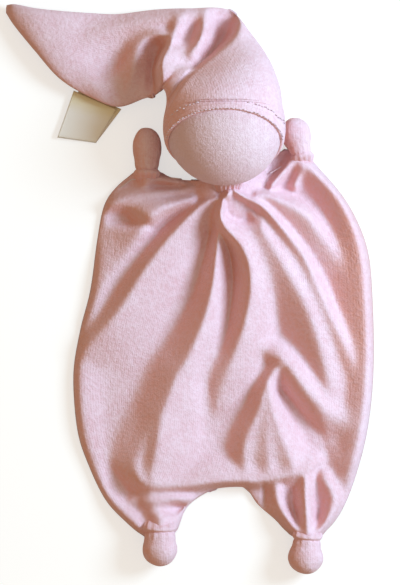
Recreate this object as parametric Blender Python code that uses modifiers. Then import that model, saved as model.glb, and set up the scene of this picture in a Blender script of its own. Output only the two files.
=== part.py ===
"""Comfort blanket lovey lying on its back: a two-layer velour blanket with four tied corner balls,
a stuffed head on a gathered neck, a long pointed cap that falls to one side, and a sewn-in label.

Metres, +Z up. +Y runs from the feet to the cap, +X to the viewer's right when looking down on it.
The origin is below the middle of the whole object, on the surface that it lies on. The sizes here
count from the place below the neck, and the last step moves the whole to the origin.
"""

import math

import bmesh
import bpy
from mathutils import Matrix, Vector

# Cloth, thread and fits
CLOTH_WALL = 0.0016
THREAD_RADIUS = 0.0004
CLEARANCE = 0.0003
SEAM_CLEARANCE = 0.0004

# Blanket, measured from the neck: its greatest width, and its length down to the hem
BLANKET_WIDTH = 0.210
BLANKET_LENGTH = 0.210
SEAM_INSET = 0.002
FOLD_HEIGHT = 0.015
FOLD_WIDTH = 0.020
FOLD_CREST = 0.003
NECK_RISE_REACH = 0.060
CORNER_RISE_REACH = 0.034
TIE_PULL = 4
FRONT_ROWS = 11
BACK_ROWS = 7

# Neck: a knot of gathered cloth in a cup of the same cloth, with a stem up into the head
NECK_HEIGHT = 0.028
KNOT_RADIUS = 0.006
STEM_RADIUS = 0.004
STEM_LENGTH = 0.014
GATHER_WALL = 0.0016
GATHER_TILT = math.radians(30)
GATHER_LIP = math.radians(84)
NECK_TIE_RADIUS = 0.0006

# Head
HEAD_WIDTH = 0.083
HEAD_LENGTH = 0.082
HEAD_HEIGHT = 0.074
HEAD_OFFSET = -0.0028
HEAD_GAP = 0.0024
FACE_TILT = math.radians(51)
FACE_OFFSET_SHARE = 0.32
STUFFING_EASE = 0.0012

# Cap: the empty velour cone beyond the head, which lies bent at a crease
CAP_CREASE_WIDTH = 0.075
CAP_CREASE_HEIGHT = 0.026
CAP_CREASE_HEADING = math.radians(140)
CAP_CREASE_SHARES = (-0.253, 0.674)
CAP_TIP_LENGTH = 0.132
CAP_TIP_WIDTH = 0.065

# Woven label, a folded ribbon
LABEL_WIDTH = 0.032
LABEL_LENGTH = 0.033
LABEL_THICKNESS = 0.0004
LABEL_LOOP_GAP = 0.0006
LABEL_PLACE_SHARE = 0.12
LABEL_ROLL_STEPS = 5

# Corner balls: diameter across and along, and where each neck is tied, from the neck of the head
TIE_RADIUS = 0.0007
TIE_BORE = 0.0025
BALL_NECK_BORE = 0.0010
BALL_NECK_RADIUS = 0.0021
BALL_NECK_LENGTH = 0.0030
HAND_WIDTH = 0.0225
HAND_LENGTH = 0.031
FOOT_WIDTH = 0.0265
FOOT_LENGTH = 0.026
CORNERS = {
    # name: (x share of the width, y share of the length, heading, diameter across, diameter along)
    "hand_left": (-0.270, 0.067, math.radians(90), HAND_WIDTH, HAND_LENGTH),
    "foot_left": (-0.227, -1.120, math.radians(-90), FOOT_WIDTH, FOOT_LENGTH),
    "foot_right": (0.263, -1.147, math.radians(-94), FOOT_WIDTH, FOOT_LENGTH),
    "hand_right": (0.245, 0.120, math.radians(90), HAND_WIDTH, HAND_LENGTH),
}

# The blanket's edge between its tied corners, as shares of its width and length
LEFT_TOP_SHARES = [(-0.100, 0.036), (-0.165, 0.052), (-0.222, 0.060)]
LEFT_SIDE_SHARES = [
    (-0.327, 0.050), (-0.380, 0.010), (-0.417, -0.065), (-0.437, -0.157), (-0.450, -0.250),
    (-0.467, -0.350), (-0.490, -0.445), (-0.510, -0.550), (-0.517, -0.660), (-0.507, -0.765),
    (-0.483, -0.865), (-0.447, -0.955), (-0.400, -1.030), (-0.343, -1.085), (-0.283, -1.115),
]
HEM_SHARES = [
    (-0.173, -1.105), (-0.143, -1.057), (-0.105, -1.018), (-0.040, -0.985), (0.040, -0.983),
    (0.090, -1.025), (0.150, -1.085), (0.207, -1.127),
]
RIGHT_SIDE_SHARES = [
    (0.313, -1.130), (0.367, -1.070), (0.413, -0.985), (0.447, -0.880), (0.470, -0.775),
    (0.483, -0.670), (0.487, -0.560), (0.487, -0.450), (0.483, -0.340), (0.470, -0.225),
    (0.447, -0.125), (0.407, -0.040), (0.353, 0.030), (0.298, 0.080),
]
RIGHT_TOP_SHARES = [(0.190, 0.100), (0.145, 0.070), (0.090, 0.038)]

# Main folds, each a line of points along its crest: x share, y share, share of the fold height, then
# the width of the slope on the left and on the right of the way it runs, as shares of the fold width
FOLD_SHARES = {
    "left_main": [
        (-0.047, -0.016, 1.47, 0.35, 0.28), (-0.117, -0.056, 1.27, 0.88, 0.35),
        (-0.227, -0.159, 1.13, 1.40, 0.49), (-0.290, -0.242, 1.00, 1.68, 0.63),
        (-0.353, -0.339, 0.87, 1.75, 0.70), (-0.413, -0.419, 0.73, 1.61, 0.70),
        (-0.457, -0.472, 0.47, 1.40, 0.63),
    ],
    "belly_left": [
        (-0.037, -0.112, 1.00, 0.35, 0.24), (-0.050, -0.219, 1.07, 0.49, 0.35),
        (-0.067, -0.342, 1.07, 0.77, 0.53), (-0.103, -0.459, 1.07, 1.05, 0.77),
        (-0.147, -0.559, 1.00, 1.40, 0.91), (-0.200, -0.686, 0.93, 1.75, 1.08),
        (-0.243, -0.872, 0.87, 1.75, 1.54), (-0.260, -0.939, 0.80, 1.57, 1.54),
    ],
    "middle": [
        (-0.020, -0.046, 1.93, 0.28, 0.28), (-0.010, -0.129, 1.80, 0.63, 0.28),
        (0.027, -0.172, 1.73, 0.84, 0.35), (0.053, -0.216, 1.67, 0.98, 0.45),
        (0.067, -0.269, 1.60, 1.05, 0.56), (0.063, -0.342, 1.47, 1.08, 0.66),
        (0.053, -0.399, 1.33, 1.12, 0.66), (0.037, -0.466, 1.20, 1.19, 0.63),
        (0.013, -0.532, 1.03, 1.26, 0.91), (-0.037, -0.666, 0.80, 1.05, 1.19),
        (-0.053, -0.826, 0.70, 0.91, 1.19),
    ],
    "right_main": [
        (0.053, -0.019, 1.80, 0.21, 0.24), (0.113, -0.049, 1.67, 0.24, 0.42),
        (0.163, -0.099, 1.53, 0.28, 0.63), (0.210, -0.156, 1.40, 0.28, 0.84),
        (0.257, -0.219, 1.23, 0.28, 0.98), (0.297, -0.306, 1.10, 0.32, 1.05),
        (0.333, -0.389, 1.00, 0.32, 1.05), (0.373, -0.476, 0.90, 0.35, 1.05),
        (0.407, -0.572, 0.77, 0.35, 0.91), (0.427, -0.676, 0.60, 0.35, 0.77),
    ],
    "right_inner": [
        (0.127, -0.152, 1.47, 0.91, 0.35), (0.177, -0.232, 1.43, 0.98, 0.49),
        (0.220, -0.306, 1.33, 0.98, 0.63), (0.257, -0.376, 1.27, 0.98, 0.80),
        (0.287, -0.452, 1.17, 0.98, 0.91), (0.310, -0.532, 1.03, 0.98, 0.80),
        (0.327, -0.606, 0.80, 0.91, 0.59),
    ],
    "right_upper": [
        (0.093, -0.012, 1.33, 0.24, 0.28), (0.173, -0.032, 1.20, 0.28, 0.42),
        (0.253, -0.076, 1.07, 0.35, 0.77), (0.307, -0.146, 0.93, 0.45, 0.98),
        (0.340, -0.192, 0.80, 0.53, 0.98), (0.373, -0.246, 0.60, 0.53, 0.91),
    ],
    "right_outer": [
        (0.247, 0.088, 0.73, 0.28, 0.35), (0.350, 0.014, 0.93, 0.32, 0.77),
        (0.400, -0.066, 0.93, 0.35, 0.77), (0.430, -0.159, 0.87, 0.35, 0.70),
        (0.463, -0.409, 0.73, 0.32, 0.56), (0.467, -0.676, 0.60, 0.28, 0.49),
        (0.430, -0.899, 0.40, 0.28, 0.42),
    ],
    "right_knee": [
        (0.133, -0.526, 0.53, 0.49, 0.28), (0.183, -0.536, 0.87, 0.53, 0.35),
        (0.233, -0.566, 1.03, 0.56, 0.42), (0.300, -0.672, 0.93, 0.63, 0.56),
        (0.380, -0.742, 0.53, 0.63, 0.56),
    ],
    "right_thigh": [
        (0.180, -0.562, 0.80, 0.28, 0.28), (0.117, -0.666, 1.00, 0.42, 0.42),
        (0.107, -0.709, 1.00, 0.49, 0.49), (0.063, -0.812, 0.87, 0.84, 0.56),
        (0.053, -0.876, 0.73, 0.91, 0.59), (0.057, -0.942, 0.53, 0.70, 0.53),
    ],
    "right_thigh_side": [
        (0.133, -0.639, 0.93, 0.28, 0.42), (0.170, -0.746, 0.97, 0.28, 1.05),
        (0.203, -0.802, 0.93, 0.32, 1.40), (0.247, -0.912, 0.80, 0.35, 1.61),
    ],
    "hem": [
        (-0.340, -0.846, 0.47, 0.35, 0.28), (-0.290, -0.966, 0.73, 0.91, 0.17),
        (-0.143, -0.976, 0.80, 0.98, 0.17), (0.040, -0.966, 0.73, 0.98, 0.17),
        (0.207, -0.942, 0.80, 0.91, 0.17), (0.267, -0.922, 0.60, 0.77, 0.21),
    ],
    "left_margin": [
        (-0.500, -0.626, 0.40, 1.05, 0.32), (-0.463, -0.859, 0.53, 1.05, 0.35),
        (-0.353, -1.049, 0.60, 0.77, 0.35),
    ],
    "left_chest": [
        (-0.153, -0.036, 0.47, 0.28, 0.42), (-0.333, -0.186, 0.40, 0.32, 1.05),
        (-0.460, -0.419, 0.27, 0.28, 0.77),
    ],
    "left_shoulder": [
        (-0.047, 0.001, 0.80, 0.32, 0.21), (-0.253, -0.002, 0.60, 0.42, 0.32),
        (-0.413, -0.072, 0.40, 0.56, 0.42),
    ],
    "left_leg": [
        (-0.300, -1.016, 0.53, 0.21, 0.24), (-0.173, -1.016, 0.60, 0.17, 0.24),
        (-0.127, -1.022, 0.40, 0.17, 0.24),
    ],
    "right_leg": [
        (0.257, -0.952, 0.73, 0.28, 0.28), (0.260, -1.066, 1.00, 0.28, 0.28),
        (0.263, -1.136, 1.13, 0.32, 0.32),
    ],
}
FOLD_EDGE_SHARE = 0.94
FOLD_START_REACH = 0.026
FOLD_FOOT_SHARE = 0.22
FOLD_BLEND_POWER = 4
ROW_EASE_SHARE = 0.5

# Rings of the hood beyond the face, as shares of the head's half sizes: the first ones lie on the
# head (tilt in degrees, offset of the plane), the others stand free of it (y, half width, top,
# x shift, turn towards the crease, exponent of the sag)
HOOD_ON_HEAD_SHARES = [(58, 0.16), (66, 0.00), (74, -0.16)]
HOOD_FREE_SHARES = [
    (0.42, 0.965, 1.93, 0.00, 0.00, 1.00), (0.66, 0.950, 1.78, -0.03, 0.08, 1.10),
    (0.92, 0.925, 1.40, -0.14, 0.30, 1.25), (1.14, 0.905, 1.00, -0.31, 0.62, 1.40),
]
CAP_SAG_EXPONENT = 1.5
HOOD_FLOOR_SHARE = 0.01
RING_SIDES = 28
FACE_RINGS = 18

# Rings of the cap's tip: shares of its length and, of its greatest width, the middle and the half
# width, then the height as a share of the crease's height
CAP_TIP_SHARES = [
    (0.233, -0.032, 0.430, 0.92), (0.403, -0.100, 0.500, 0.82), (0.551, -0.043, 0.452, 0.72),
    (0.711, 0.065, 0.366, 0.58), (0.843, 0.230, 0.230, 0.44), (0.949, 0.388, 0.118, 0.31),
    (0.997, 0.460, 0.043, 0.20),
]

COLOURS = {
    # name: (red, green, blue), roughness
    "velour": ((0.80, 0.52, 0.56), 0.9),
    "face_velour": ((0.82, 0.58, 0.62), 0.9),
    "wool": ((0.86, 0.82, 0.74), 0.95),
    "thread": ((0.74, 0.46, 0.50), 0.7),
    "label_satin": ((0.84, 0.80, 0.68), 0.5),
}


def clear_scene():
    for obj in list(bpy.data.objects):
        bpy.data.objects.remove(obj, do_unlink=True)


def make_collection(name):
    collection = bpy.data.collections.new(name)
    bpy.context.scene.collection.children.link(collection)
    return collection


def make_materials():
    made = {}
    for name, (colour, roughness) in COLOURS.items():
        material = bpy.data.materials.new(name)
        material.use_nodes = True
        shader = material.node_tree.nodes["Principled BSDF"]
        shader.inputs["Base Color"].default_value = (*colour, 1.0)
        shader.inputs["Roughness"].default_value = roughness
        shader.inputs["Metallic"].default_value = 0.0
        made[name] = material
    return made


def smoothstep(low, high, value):
    t = min(1.0, max(0.0, (value - low) / (high - low)))
    return t * t * (3 - 2 * t)


def add_mesh(name, mesh, material, collection, smooth=True):
    obj = bpy.data.objects.new(name, mesh)
    collection.objects.link(obj)
    mesh.materials.append(material)
    if smooth:
        mesh.shade_smooth()
    return obj


def finish_bmesh(bm, name):
    """A mesh from the bmesh, with its faces pointing out or, on an open sheet, left as they are."""
    mesh = bpy.data.meshes.new(name)
    bm.to_mesh(mesh)
    bm.free()
    return mesh


def solidify(obj, thickness, offset=-1):
    """Gives an open surface its wall, on the inner side of its faces or, with offset 1, the outer."""
    wall = obj.modifiers.new("wall", "SOLIDIFY")
    wall.thickness = thickness
    wall.offset = offset
    return wall


def loft(name, rings, around=False):
    """Quads between rings of equally many points: closed at both ends, or from the last to the first."""
    bm = bmesh.new()
    loops = [[bm.verts.new(point) for point in ring] for ring in rings]
    pairs = list(zip(loops, loops[1:]))
    if around:
        pairs.append((loops[-1], loops[0]))
    else:
        bm.faces.new(loops[0])
        bm.faces.new(loops[-1])
    sides = len(rings[0])
    for before, after in pairs:
        for i in range(sides):
            j = (i + 1) % sides
            bm.faces.new((before[i], before[j], after[j], after[i]))
    bmesh.ops.recalc_face_normals(bm, faces=bm.faces)
    return finish_bmesh(bm, name)


def thread_tube(name, points, radius, material, collection, cyclic=False, resolution=1):
    """A sewing thread as a thin tube along its points."""
    curve = bpy.data.curves.new(name, "CURVE")
    curve.dimensions = "3D"
    curve.bevel_depth = radius
    curve.bevel_resolution = resolution
    curve.use_fill_caps = True
    spline = curve.splines.new("POLY")
    spline.points.add(len(points) - 1)
    for slot, point in zip(spline.points, points):
        slot.co = (*point, 1.0)
    spline.use_cyclic_u = cyclic
    obj = bpy.data.objects.new(name, curve)
    collection.objects.link(obj)
    curve.materials.append(material)
    return obj


def tie_ring(name, centre, axis, bore, radius, material, collection):
    """Thread wound tight round a neck, as one ring."""
    bpy.ops.mesh.primitive_torus_add(
        major_radius=bore + radius, minor_radius=radius, major_segments=16, minor_segments=6)
    obj = bpy.context.object
    obj.name = name
    obj.data.name = name
    for holder in list(obj.users_collection):
        holder.objects.unlink(obj)
    collection.objects.link(obj)
    obj.rotation_euler = Vector(axis).to_track_quat("Z", "Y").to_euler()
    obj.location = centre
    obj.data.materials.append(material)
    obj.data.shade_smooth()
    return obj


# The blanket, with the neck above the middle of its upper edge

def neck_point():
    return Vector((0, 0, NECK_HEIGHT))


def blanket_point(x_share, y_share):
    return Vector((x_share * BLANKET_WIDTH, y_share * BLANKET_LENGTH))


def gather_radius():
    """Outside of the cup of cloth that the knot turns in."""
    return KNOT_RADIUS + CLEARANCE + GATHER_WALL


def corner_tie(name):
    """Centre of the tie of a corner ball, and the way the ball points."""
    x_share, y_share, heading, across, _ = CORNERS[name]
    place = blanket_point(x_share, y_share)
    return Vector((place.x, place.y, across / 2)), Vector((math.cos(heading), math.sin(heading), 0))


def corner_tip(name):
    """The two points of the blanket's edge at a tie, on the left and the right of the ball's way."""
    centre, way = corner_tie(name)
    side = Vector((-way.y, way.x, 0))
    end = centre - way * (BALL_NECK_RADIUS + CLEARANCE)
    half = TIE_BORE - CLEARANCE
    return [(end + side * half).to_2d(), (end - side * half).to_2d()]


def blanket_edge():
    """The edge from beside the head on the left, round the feet, to beside the head on the right."""
    places = [blanket_point(*share) for share in LEFT_TOP_SHARES]
    places += reversed(corner_tip("hand_left"))
    places += [blanket_point(*share) for share in LEFT_SIDE_SHARES]
    places += reversed(corner_tip("foot_left"))
    places += [blanket_point(*share) for share in HEM_SHARES]
    places += reversed(corner_tip("foot_right"))
    places += [blanket_point(*share) for share in RIGHT_SIDE_SHARES]
    places += reversed(corner_tip("hand_right"))
    places += [blanket_point(*share) for share in RIGHT_TOP_SHARES]
    return places


def along_fold(points, x, y):
    """Nearest place on a fold's crest: its distance, its height and the width of the slope there."""
    best = None
    for before, after in zip(points, points[1:]):
        dx, dy = after[0] - before[0], after[1] - before[1]
        t = min(1.0, max(0.0, ((x - before[0]) * dx + (y - before[1]) * dy) / (dx * dx + dy * dy)))
        ox, oy = x - before[0] - t * dx, y - before[1] - t * dy
        distance = math.hypot(ox, oy)
        if best is None or distance < best[0]:
            height, left, right = (before[i] + t * (after[i] - before[i]) for i in (2, 3, 4))
            best = (distance, height, left if dx * oy - dy * ox > 0 else right)
    return best


def fold_routes():
    """The folds in metres: points with the height and the width on the left and on the right."""
    return [
        [(*blanket_point(x, y), height * FOLD_HEIGHT, left * FOLD_WIDTH, right * FOLD_WIDTH)
         for x, y, height, left, right in points]
        for points in FOLD_SHARES.values()]


def rise(place, x, y, reach):
    """1 at the place, falling to 0 at the reach round it."""
    distance = math.hypot(x - place.x, y - place.y)
    return max(0.0, 1 - distance / reach) ** 1.5


def neck_rise(x, y):
    """How far the blanket climbs to the neck."""
    return (NECK_HEIGHT - CLOTH_WALL - seam_gap() / 2) * rise(neck_point(), x, y, NECK_RISE_REACH)


def fold_height(routes, x, y):
    """Height of the folds above the climb to the neck, each a rounded crest with a soft foot."""
    climb = neck_rise(x, y)
    total = climb ** FOLD_BLEND_POWER
    for places in routes:
        distance, height, width = along_fold(places, x, y)
        share = 1 - (math.hypot(distance, FOLD_CREST) - FOLD_CREST) / width
        if share < FOLD_FOOT_SHARE:
            share = max(0.0, share + FOLD_FOOT_SHARE) ** 2 / (4 * FOLD_FOOT_SHARE)
        total += (height * share) ** FOLD_BLEND_POWER
    return total ** (1 / FOLD_BLEND_POWER) - climb


def seam_gap():
    """Room between the two layers at the edge, which the seam's thread fills."""
    return 2 * (THREAD_RADIUS + SEAM_CLEARANCE)


def seam_height(x, y):
    """Height midway between the layers, which climbs to the neck and to the four ties."""
    height = CLOTH_WALL + seam_gap() / 2 + neck_rise(x, y)
    for name in CORNERS:
        centre, _ = corner_tie(name)
        height += (centre.z - height) * rise(centre, x, y, CORNER_RISE_REACH)
    return height


def blanket_columns():
    """For each point of the edge: where its column starts at the neck, its seam place, its end."""
    edge = blanket_edge()
    neck = neck_point()
    start_radius = gather_radius() + CLEARANCE
    first_angle, last_angle = math.radians(188), math.radians(352)
    columns = []
    for i, end in enumerate(edge):
        angle = first_angle + (last_angle - first_angle) * i / (len(edge) - 1)
        start = Vector((neck.x + start_radius * math.cos(angle), neck.y + start_radius * math.sin(angle)))
        inward = (start - end).normalized()
        for name in CORNERS:
            centre, way = corner_tie(name)
            inward -= way.to_2d() * TIE_PULL * rise(centre, end.x, end.y, CORNER_RISE_REACH)
        columns.append((start, end + inward.normalized() * 2 * SEAM_INSET, end))
    return columns


def blanket_grid(name, rows, height_at):
    """A sheet from the gathered neck out to the edge, whose last rows lie level beside the seam."""
    columns = blanket_columns()
    bm = bmesh.new()
    bmesh.ops.create_grid(bm, x_segments=len(columns) - 1, y_segments=rows, size=1)
    for vert in bm.verts:
        start, inner, end = columns[round((vert.co.x + 1) / 2 * (len(columns) - 1))]
        row = round((vert.co.y + 1) / 2 * rows)
        even = min(1.0, row / (rows - 1))
        out = even + ROW_EASE_SHARE * ((1 - math.cos(math.pi * even)) / 2 - even)
        place = end if row == rows else start.lerp(inner, out)
        measured = place if row < rows - 1 else (inner + end) / 2
        vert.co = (place.x, place.y, height_at(measured.x, measured.y, out))
    bm.normal_update()
    if sum(face.normal.z for face in bm.faces) < 0:
        bmesh.ops.reverse_faces(bm, faces=bm.faces)
    return finish_bmesh(bm, name)


def build_blanket(materials, collection):
    routes = fold_routes()

    def front_height(x, y, out):
        loose = smoothstep(gather_radius(), FOLD_START_REACH, math.hypot(x, y))
        held = loose * (1 - smoothstep(FOLD_EDGE_SHARE, 1, out))
        return seam_height(x, y) + seam_gap() / 2 + held * fold_height(routes, x, y)

    def back_height(x, y, out):
        return seam_height(x, y) - seam_gap() / 2

    for name, rows, height_at, offset in (
        ("front_panel", FRONT_ROWS, front_height, 1), ("back_panel", BACK_ROWS, back_height, -1),
    ):
        mesh = blanket_grid(name, rows, height_at)
        solidify(add_mesh(name, mesh, materials["velour"], collection), CLOTH_WALL, offset)


def build_blanket_seam(materials, collection):
    """The thread that joins the layers, just inside the edge."""
    points = []
    for _, inner, end in blanket_columns()[1:-1]:
        place = (inner + end) / 2
        points.append((place.x, place.y, seam_height(place.x, place.y)))
    thread_tube("edge_seam_thread", points, THREAD_RADIUS, materials["thread"], collection)


# The corner balls

def turned(name, profile, centre, way, material, collection, steps=14):
    """A profile of (along, radius) turned about the way it points, from the far pole to the neck."""
    bm = bmesh.new()
    verts = [bm.verts.new((radius, 0, along)) for along, radius in profile]
    for first, second in zip(verts, verts[1:]):
        bm.edges.new((first, second))
    obj = add_mesh(name, finish_bmesh(bm, name), material, collection, smooth=False)
    screw = obj.modifiers.new("turn", "SCREW")
    screw.steps = steps
    screw.render_steps = steps
    screw.use_merge_vertices = True
    screw.merge_threshold = 0.00001
    screw.use_smooth_shade = True
    obj.rotation_euler = Vector(way).to_track_quat("Z", "Y").to_euler()
    obj.location = centre
    return obj


def arc(middle, along_radius, across_radius, from_angle, to_angle, steps):
    """Points (along, radius) of an ellipse's arc, with the angle counted from the far pole."""
    points = []
    for i in range(steps + 1):
        angle = from_angle + (to_angle - from_angle) * i / steps
        points.append((middle + along_radius * math.cos(angle), across_radius * math.sin(angle)))
    return points


def build_corner(name, materials, collection):
    """A velour ball with its neck in the tie, and the wool inside it."""
    _, _, _, across, along = CORNERS[name]
    centre, way = corner_tie(name)
    middle = BALL_NECK_LENGTH + along / 2
    outer = along / 2, across / 2
    inner = outer[0] - CLOTH_WALL, outer[1] - CLOTH_WALL
    to_neck = math.pi - math.asin(BALL_NECK_RADIUS / outer[1])
    to_bore = math.pi - math.asin(BALL_NECK_BORE / inner[1])
    end_of_bore = math.pi - math.asin(BALL_NECK_BORE / BALL_NECK_RADIUS)
    profile = arc(middle, *outer, 0, to_neck, 8)
    profile += arc(0.0, BALL_NECK_RADIUS, BALL_NECK_RADIUS, math.pi / 2, end_of_bore, 2)
    profile += reversed(arc(middle, *inner, 0, to_bore, 7))
    turned(name + "_cover", profile, centre, way, materials["velour"], collection)
    wool = arc(middle, inner[0] - CLEARANCE, inner[1] - CLEARANCE, 0, math.pi, 7)
    turned(name + "_stuffing", wool, centre, way, materials["wool"], collection)
    tie_ring(name + "_tie", centre, way, TIE_BORE, TIE_RADIUS, materials["thread"], collection)


# The neck and the head

def stem_profile(radius, stem_radius, stem_length):
    """A ball with a stem on its far side, as (along, radius) from the stem's end to the near pole."""
    profile = [(stem_length, 0.0), (stem_length, stem_radius)]
    return profile + arc(0.0, radius, radius, math.asin(stem_radius / radius), math.pi, 9)


def build_neck(materials, collection):
    """The knot with its stem, the thread round it, and the cup of gathered cloth that holds it."""
    neck = neck_point()
    way = Vector((0, 1, 0))
    knot = stem_profile(KNOT_RADIUS, STEM_RADIUS, STEM_LENGTH)
    turned("neck_knot", knot, neck, way, materials["velour"], collection)
    tie_bore = STEM_RADIUS + CLEARANCE
    tie_reach = KNOT_RADIUS + CLEARANCE + NECK_TIE_RADIUS
    along = math.sqrt(tie_reach**2 - (tie_bore + NECK_TIE_RADIUS) ** 2)
    tie_ring("neck_tie", neck + way * along, way, tie_bore, NECK_TIE_RADIUS, materials["thread"], collection)
    tilted = Vector((0, math.cos(GATHER_TILT), math.sin(GATHER_TILT)))
    bore, outside = KNOT_RADIUS + CLEARANCE, gather_radius()
    cup = arc(0.0, bore, bore, math.pi, GATHER_LIP, 6)
    cup += reversed(arc(0.0, outside, outside, math.pi, GATHER_LIP, 6))
    turned("neck_gather", cup, neck, tilted, materials["velour"], collection)


def head_centre():
    neck = neck_point()
    return Vector((neck.x + HEAD_OFFSET, neck.y + HEAD_GAP + HEAD_LENGTH / 2, HEAD_HEIGHT / 2))


def head_scale(inset=0.0):
    return Vector((HEAD_WIDTH / 2 - inset, HEAD_LENGTH / 2 - inset, HEAD_HEIGHT / 2 - inset))


def on_head(unit, inset=0.0):
    """A place on the ball of radius 1, brought onto the head."""
    scale, centre = head_scale(inset), head_centre()
    return Vector(tuple(middle + share * half for middle, share, half in zip(centre, unit, scale)))


def face_frame(tilt):
    """The way the face looks and, in its plane, the way to its top."""
    looks = Vector((0, -math.sin(tilt), math.cos(tilt)))
    top = Vector((0, math.cos(tilt), math.sin(tilt)))
    return looks, top


def head_ring(tilt, offset, inset=0.0):
    """A ring round the head, in a plane that is tilted and stands off the middle by a share."""
    looks, top = face_frame(tilt)
    radius = math.sqrt(1 - offset * offset)
    ring = []
    for i in range(RING_SIDES):
        angle = 2 * math.pi * i / RING_SIDES
        across = Vector((math.cos(angle), 0, 0)) + top * math.sin(angle)
        ring.append(on_head(looks * offset + across * radius, inset))
    return ring


def seam_half_share():
    """Half of the gap that the face's seam thread fills, as a share of the head's half length."""
    return (THREAD_RADIUS + CLEARANCE) / (HEAD_LENGTH / 2)


def cut_neck_socket(obj, cutters):
    """Opens part of the head for the neck: the stem sits in it and the cup turns clear of it."""
    name = "cutter_" + obj.name
    profile = stem_profile(
        gather_radius() + CLEARANCE, STEM_RADIUS + CLEARANCE, STEM_LENGTH + CLEARANCE)
    cutter = turned(name, profile, neck_point(), Vector((0, 1, 0)), obj.data.materials[0], cutters)
    cutter.hide_render = True
    cutter.display_type = "WIRE"
    cut = obj.modifiers.new("neck_socket", "BOOLEAN")
    cut.operation = "DIFFERENCE"
    cut.object = cutter


def build_face(materials, collection, cutters):
    """The round face cover, open where the neck comes in."""
    looks, _ = face_frame(FACE_TILT)
    bm = bmesh.new()
    bmesh.ops.create_uvsphere(bm, u_segments=RING_SIDES, v_segments=FACE_RINGS, radius=1)
    bmesh.ops.rotate(bm, verts=bm.verts, matrix=Matrix.Rotation(FACE_TILT, 3, "X"), cent=(0, 0, 0))
    offset = FACE_OFFSET_SHARE + seam_half_share()
    bmesh.ops.bisect_plane(
        bm, geom=bm.verts[:] + bm.edges[:] + bm.faces[:], plane_co=looks * offset, plane_no=looks,
        clear_inner=True)
    for vert in bm.verts:
        vert.co = on_head(vert.co)
    face = add_mesh("face_cover", finish_bmesh(bm, "face_cover"), materials["face_velour"], collection)
    solidify(face, CLOTH_WALL)
    cut_neck_socket(face, cutters)


def build_head_stuffing(materials, collection, cutters):
    bm = bmesh.new()
    bmesh.ops.create_uvsphere(bm, u_segments=20, v_segments=12, radius=1)
    for vert in bm.verts:
        vert.co = on_head(vert.co, CLOTH_WALL + STUFFING_EASE)
    obj = add_mesh("head_stuffing", finish_bmesh(bm, "head_stuffing"), materials["wool"], collection)
    cut_neck_socket(obj, cutters)


def build_face_seam(materials, collection):
    """The thread in the seam between face and hood."""
    points = head_ring(FACE_TILT, FACE_OFFSET_SHARE, CLOTH_WALL / 2)
    thread_tube("hood_seam_thread", points, THREAD_RADIUS, materials["thread"], collection, cyclic=True)


# The cap

def sagging_ring(middle, heading, half_width, bottom, top, exponent):
    """A section of the cap, which sags to its widest low down where it lies empty."""
    across = Vector((math.sin(heading), -math.cos(heading)))
    ring = []
    for i in range(RING_SIDES):
        angle = 2 * math.pi * i / RING_SIDES
        lift = ((1 + math.sin(angle)) / 2) ** exponent
        place = Vector(middle) + across * half_width * math.cos(angle)
        ring.append(Vector((place.x, place.y, bottom + (top - bottom) * lift)))
    return ring


def crease_middle():
    centre = head_centre()
    return Vector((
        centre.x + CAP_CREASE_SHARES[0] * HEAD_WIDTH, centre.y + CAP_CREASE_SHARES[1] * HEAD_LENGTH))


def crease_ring(step=0.0, inset=0.0):
    """The section at the crease between hood and tip, moved along the cap by a step."""
    middle = crease_middle() + Vector((math.cos(CAP_CREASE_HEADING), math.sin(CAP_CREASE_HEADING))) * step
    return sagging_ring(
        middle, CAP_CREASE_HEADING, CAP_CREASE_WIDTH / 2 - inset, inset, CAP_CREASE_HEIGHT - inset,
        CAP_SAG_EXPONENT)


def hood_rings(inset=0.0):
    """Sections of the cap's lower part, from the seam round the face to the crease."""
    rings = [head_ring(FACE_TILT, FACE_OFFSET_SHARE - seam_half_share(), inset)]
    for degrees, offset in HOOD_ON_HEAD_SHARES:
        rings.append(head_ring(math.radians(degrees), offset, inset))
    centre, scale = head_centre(), head_scale()
    for y, half_width, top, shift, turn, exponent in HOOD_FREE_SHARES:
        middle = (centre.x + shift * scale.x, centre.y + y * scale.y)
        heading = math.pi / 2 + turn * (CAP_CREASE_HEADING - math.pi / 2)
        rings.append(sagging_ring(
            middle, heading, half_width * scale.x - inset, HOOD_FLOOR_SHARE * scale.z + inset,
            top * scale.z - inset, exponent))
    rings.append(crease_ring(0.0, inset))
    return rings


def build_hood(materials, collection):
    """The lower part of the cap, sewn round the face and covering the back of the head."""
    rings = hood_rings() + hood_rings(CLOTH_WALL)[::-1]
    add_mesh("hood", loft("hood", rings, around=True), materials["velour"], collection)


def cap_tip_rings(inset=0.0):
    """Sections of the tip from the crease to its point."""
    crease = crease_middle()
    rings = [crease_ring(2 * CLEARANCE, inset)]
    for along, shift, half_width, height in CAP_TIP_SHARES:
        middle = (crease.x - along * CAP_TIP_LENGTH, crease.y + shift * CAP_TIP_WIDTH)
        rings.append(sagging_ring(
            middle, math.pi, half_width * CAP_TIP_WIDTH - inset, inset,
            height * CAP_CREASE_HEIGHT - inset, CAP_SAG_EXPONENT))
    return rings


def build_cap_tip(materials, collection):
    """The bag-like tip, open at the crease."""
    rings = cap_tip_rings(CLOTH_WALL)[-2::-1] + cap_tip_rings()
    add_mesh("cap_tip", loft("cap_tip", rings), materials["velour"], collection)


def lower_edge(rings):
    """The places where the cap's tip is widest, on the side towards the hand."""
    return [ring[RING_SIDES // 2] for ring in rings]


def build_cap_seam(materials, collection):
    """The thread of the seam along the tip's lower edge, inside the cloth."""
    points = lower_edge(cap_tip_rings(2 * CLOTH_WALL + 2 * CLEARANCE)[1:-3])
    thread_tube("cap_seam_thread", points, THREAD_RADIUS, materials["thread"], collection)


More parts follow.
